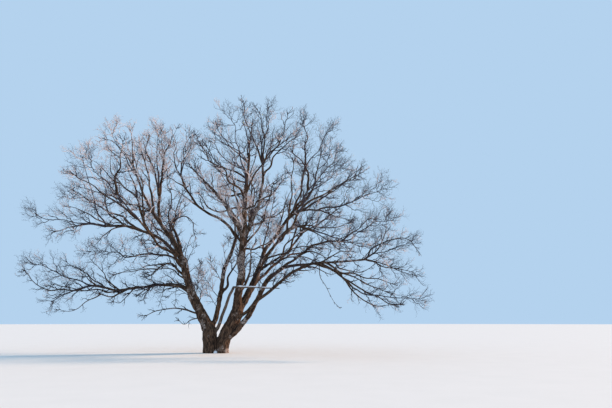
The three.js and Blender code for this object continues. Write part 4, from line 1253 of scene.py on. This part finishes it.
def bark_finish(name, dark, light, furrow, lichen, coverage):
    finish = Finish(name, BARK_ROUGHNESS)
    streaks = finish.steps(finish.noise(**BARK_STREAKS), *STREAK_STEPS)
    tone = finish.blend(streaks, colour(dark), colour(light))
    # Painted shade: darker in the furrows and the crease, as deep as the furrow attribute says
    painted_shade = finish.maths("MULTIPLY", finish.attribute("furrow"), PAINTED_FURROW_SHADE)
    tone = finish.blend(painted_shade, tone, colour(furrow))
    patches = finish.maths("ADD", finish.noise(**LICHEN_PATCHES), finish.attribute("pale"))
    patches = finish.steps(patches, 1 - coverage, 1 + LICHEN_EDGE - coverage)
    specks = finish.steps(finish.noise(**LICHEN_SPECKS), *SPECK_STEPS)
    finish.paint(finish.blend(finish.maths("MULTIPLY", patches, specks), tone, colour(lichen)))
    finish.bump(finish.noise(**BARK_GRAIN), distance=0.012, strength=0.6)
    return finish.material


def twig_finish(name, dark, light, roughness):
    finish = Finish(name, roughness)
    spots = finish.noise(scale=26.0, detail=3.0)
    finish.paint(finish.blend(spots, colour(dark), colour(light)))
    finish.bump(finish.noise(scale=180.0, detail=3.0), distance=0.002, strength=0.4)
    return finish.material


def snow_finish():
    finish = Finish("snow", roughness=0.7)
    shade = finish.noise(scale=9.0, detail=4.0)
    finish.paint(finish.blend(shade, colour("e4e8f0"), colour("f6f7fa")))
    grain = finish.noise(scale=60.0, detail=6.0, rough=0.6)
    finish.bump(grain, distance=0.006, strength=0.5)
    return finish.material


# Camera: a little above head height, looking up at the tree from in front and to its right
CAMERA_PLACE = (6.03, -40.86, 2.095)
CAMERA_PITCH = 11.12
CAMERA_LENS = 35.0  # mm
CAMERA_SENSOR = 36.0  # mm
CAMERA_REACH = 1000.0


def make_camera():
    camera = put_in_scene("camera", bpy.data.cameras.new("camera"))
    camera.data.lens = CAMERA_LENS
    camera.data.sensor_width = CAMERA_SENSOR
    camera.data.clip_end = CAMERA_REACH
    camera.location = CAMERA_PLACE
    camera.rotation_euler = (math.radians(90 + CAMERA_PITCH), 0, 0)
    bpy.context.scene.camera = camera


SUN_DIRECTION = (0.86, 0.30, 0.38)  # towards the sun: low on the right, a little behind the tree
SUN_STRENGTH = 5.0
SUN_ANGLE = 8
SUN_COLOUR = "ffd2ac"
SKY = "b4d2ee"
SKY_STRENGTH = 1.0


def make_light():
    sun = put_in_scene("sun", bpy.data.lights.new("sun", "SUN"))
    sun.data.energy = SUN_STRENGTH
    sun.data.angle = math.radians(SUN_ANGLE)
    sun.data.color = colour(SUN_COLOUR)[:3]
    sun.rotation_euler = Vector(SUN_DIRECTION).to_track_quat("Z", "Y").to_euler()
    world = bpy.data.worlds.new("sky")
    world.use_nodes = True
    background = world.node_tree.nodes["Background"]
    background.inputs["Color"].default_value = colour(SKY)
    background.inputs["Strength"].default_value = SKY_STRENGTH
    bpy.context.scene.world = world
    bpy.context.scene.view_settings.view_transform = "Standard"


FLOOR_RADIUS = 400.0
FLOOR_CORNERS = 96


def make_floor():
    mesh = bpy.data.meshes.new("floor")
    work = bmesh.new()
    bmesh.ops.create_circle(work, cap_ends=True, segments=FLOOR_CORNERS, radius=FLOOR_RADIUS)
    work.to_mesh(mesh)
    work.free()
    finish = Finish("floor", roughness=0.9)
    shade = finish.noise(scale=0.6, detail=3.0)
    finish.paint(finish.blend(shade, colour("dfe3e1"), colour("e6e9e7")))
    mesh.materials.append(finish.material)
    put_in_scene("floor", mesh)


make_camera()
make_light()
make_floor()
skeleton = grow_skeleton()
make_trunk(skeleton, bark_finish("bark", **BARK))
make_boughs(skeleton, bark_finish("bough_bark", **BOUGH_BARK), bark_finish("dead_wood", **DEAD_WOOD))
make_twigs(skeleton, dict(
    branches=twig_finish("branches", "27252b", "4b474e", roughness=0.9),
    bare_twigs=twig_finish("twigs", "302f37", "55525d", roughness=0.9),
    rimed_twigs=twig_finish("rimed_twigs", "cec1c0", "ece4e4", roughness=0.75)))
snow = snow_finish()
make_snow(skeleton["dead_limb"], snow)
make_notch_snow(snow)
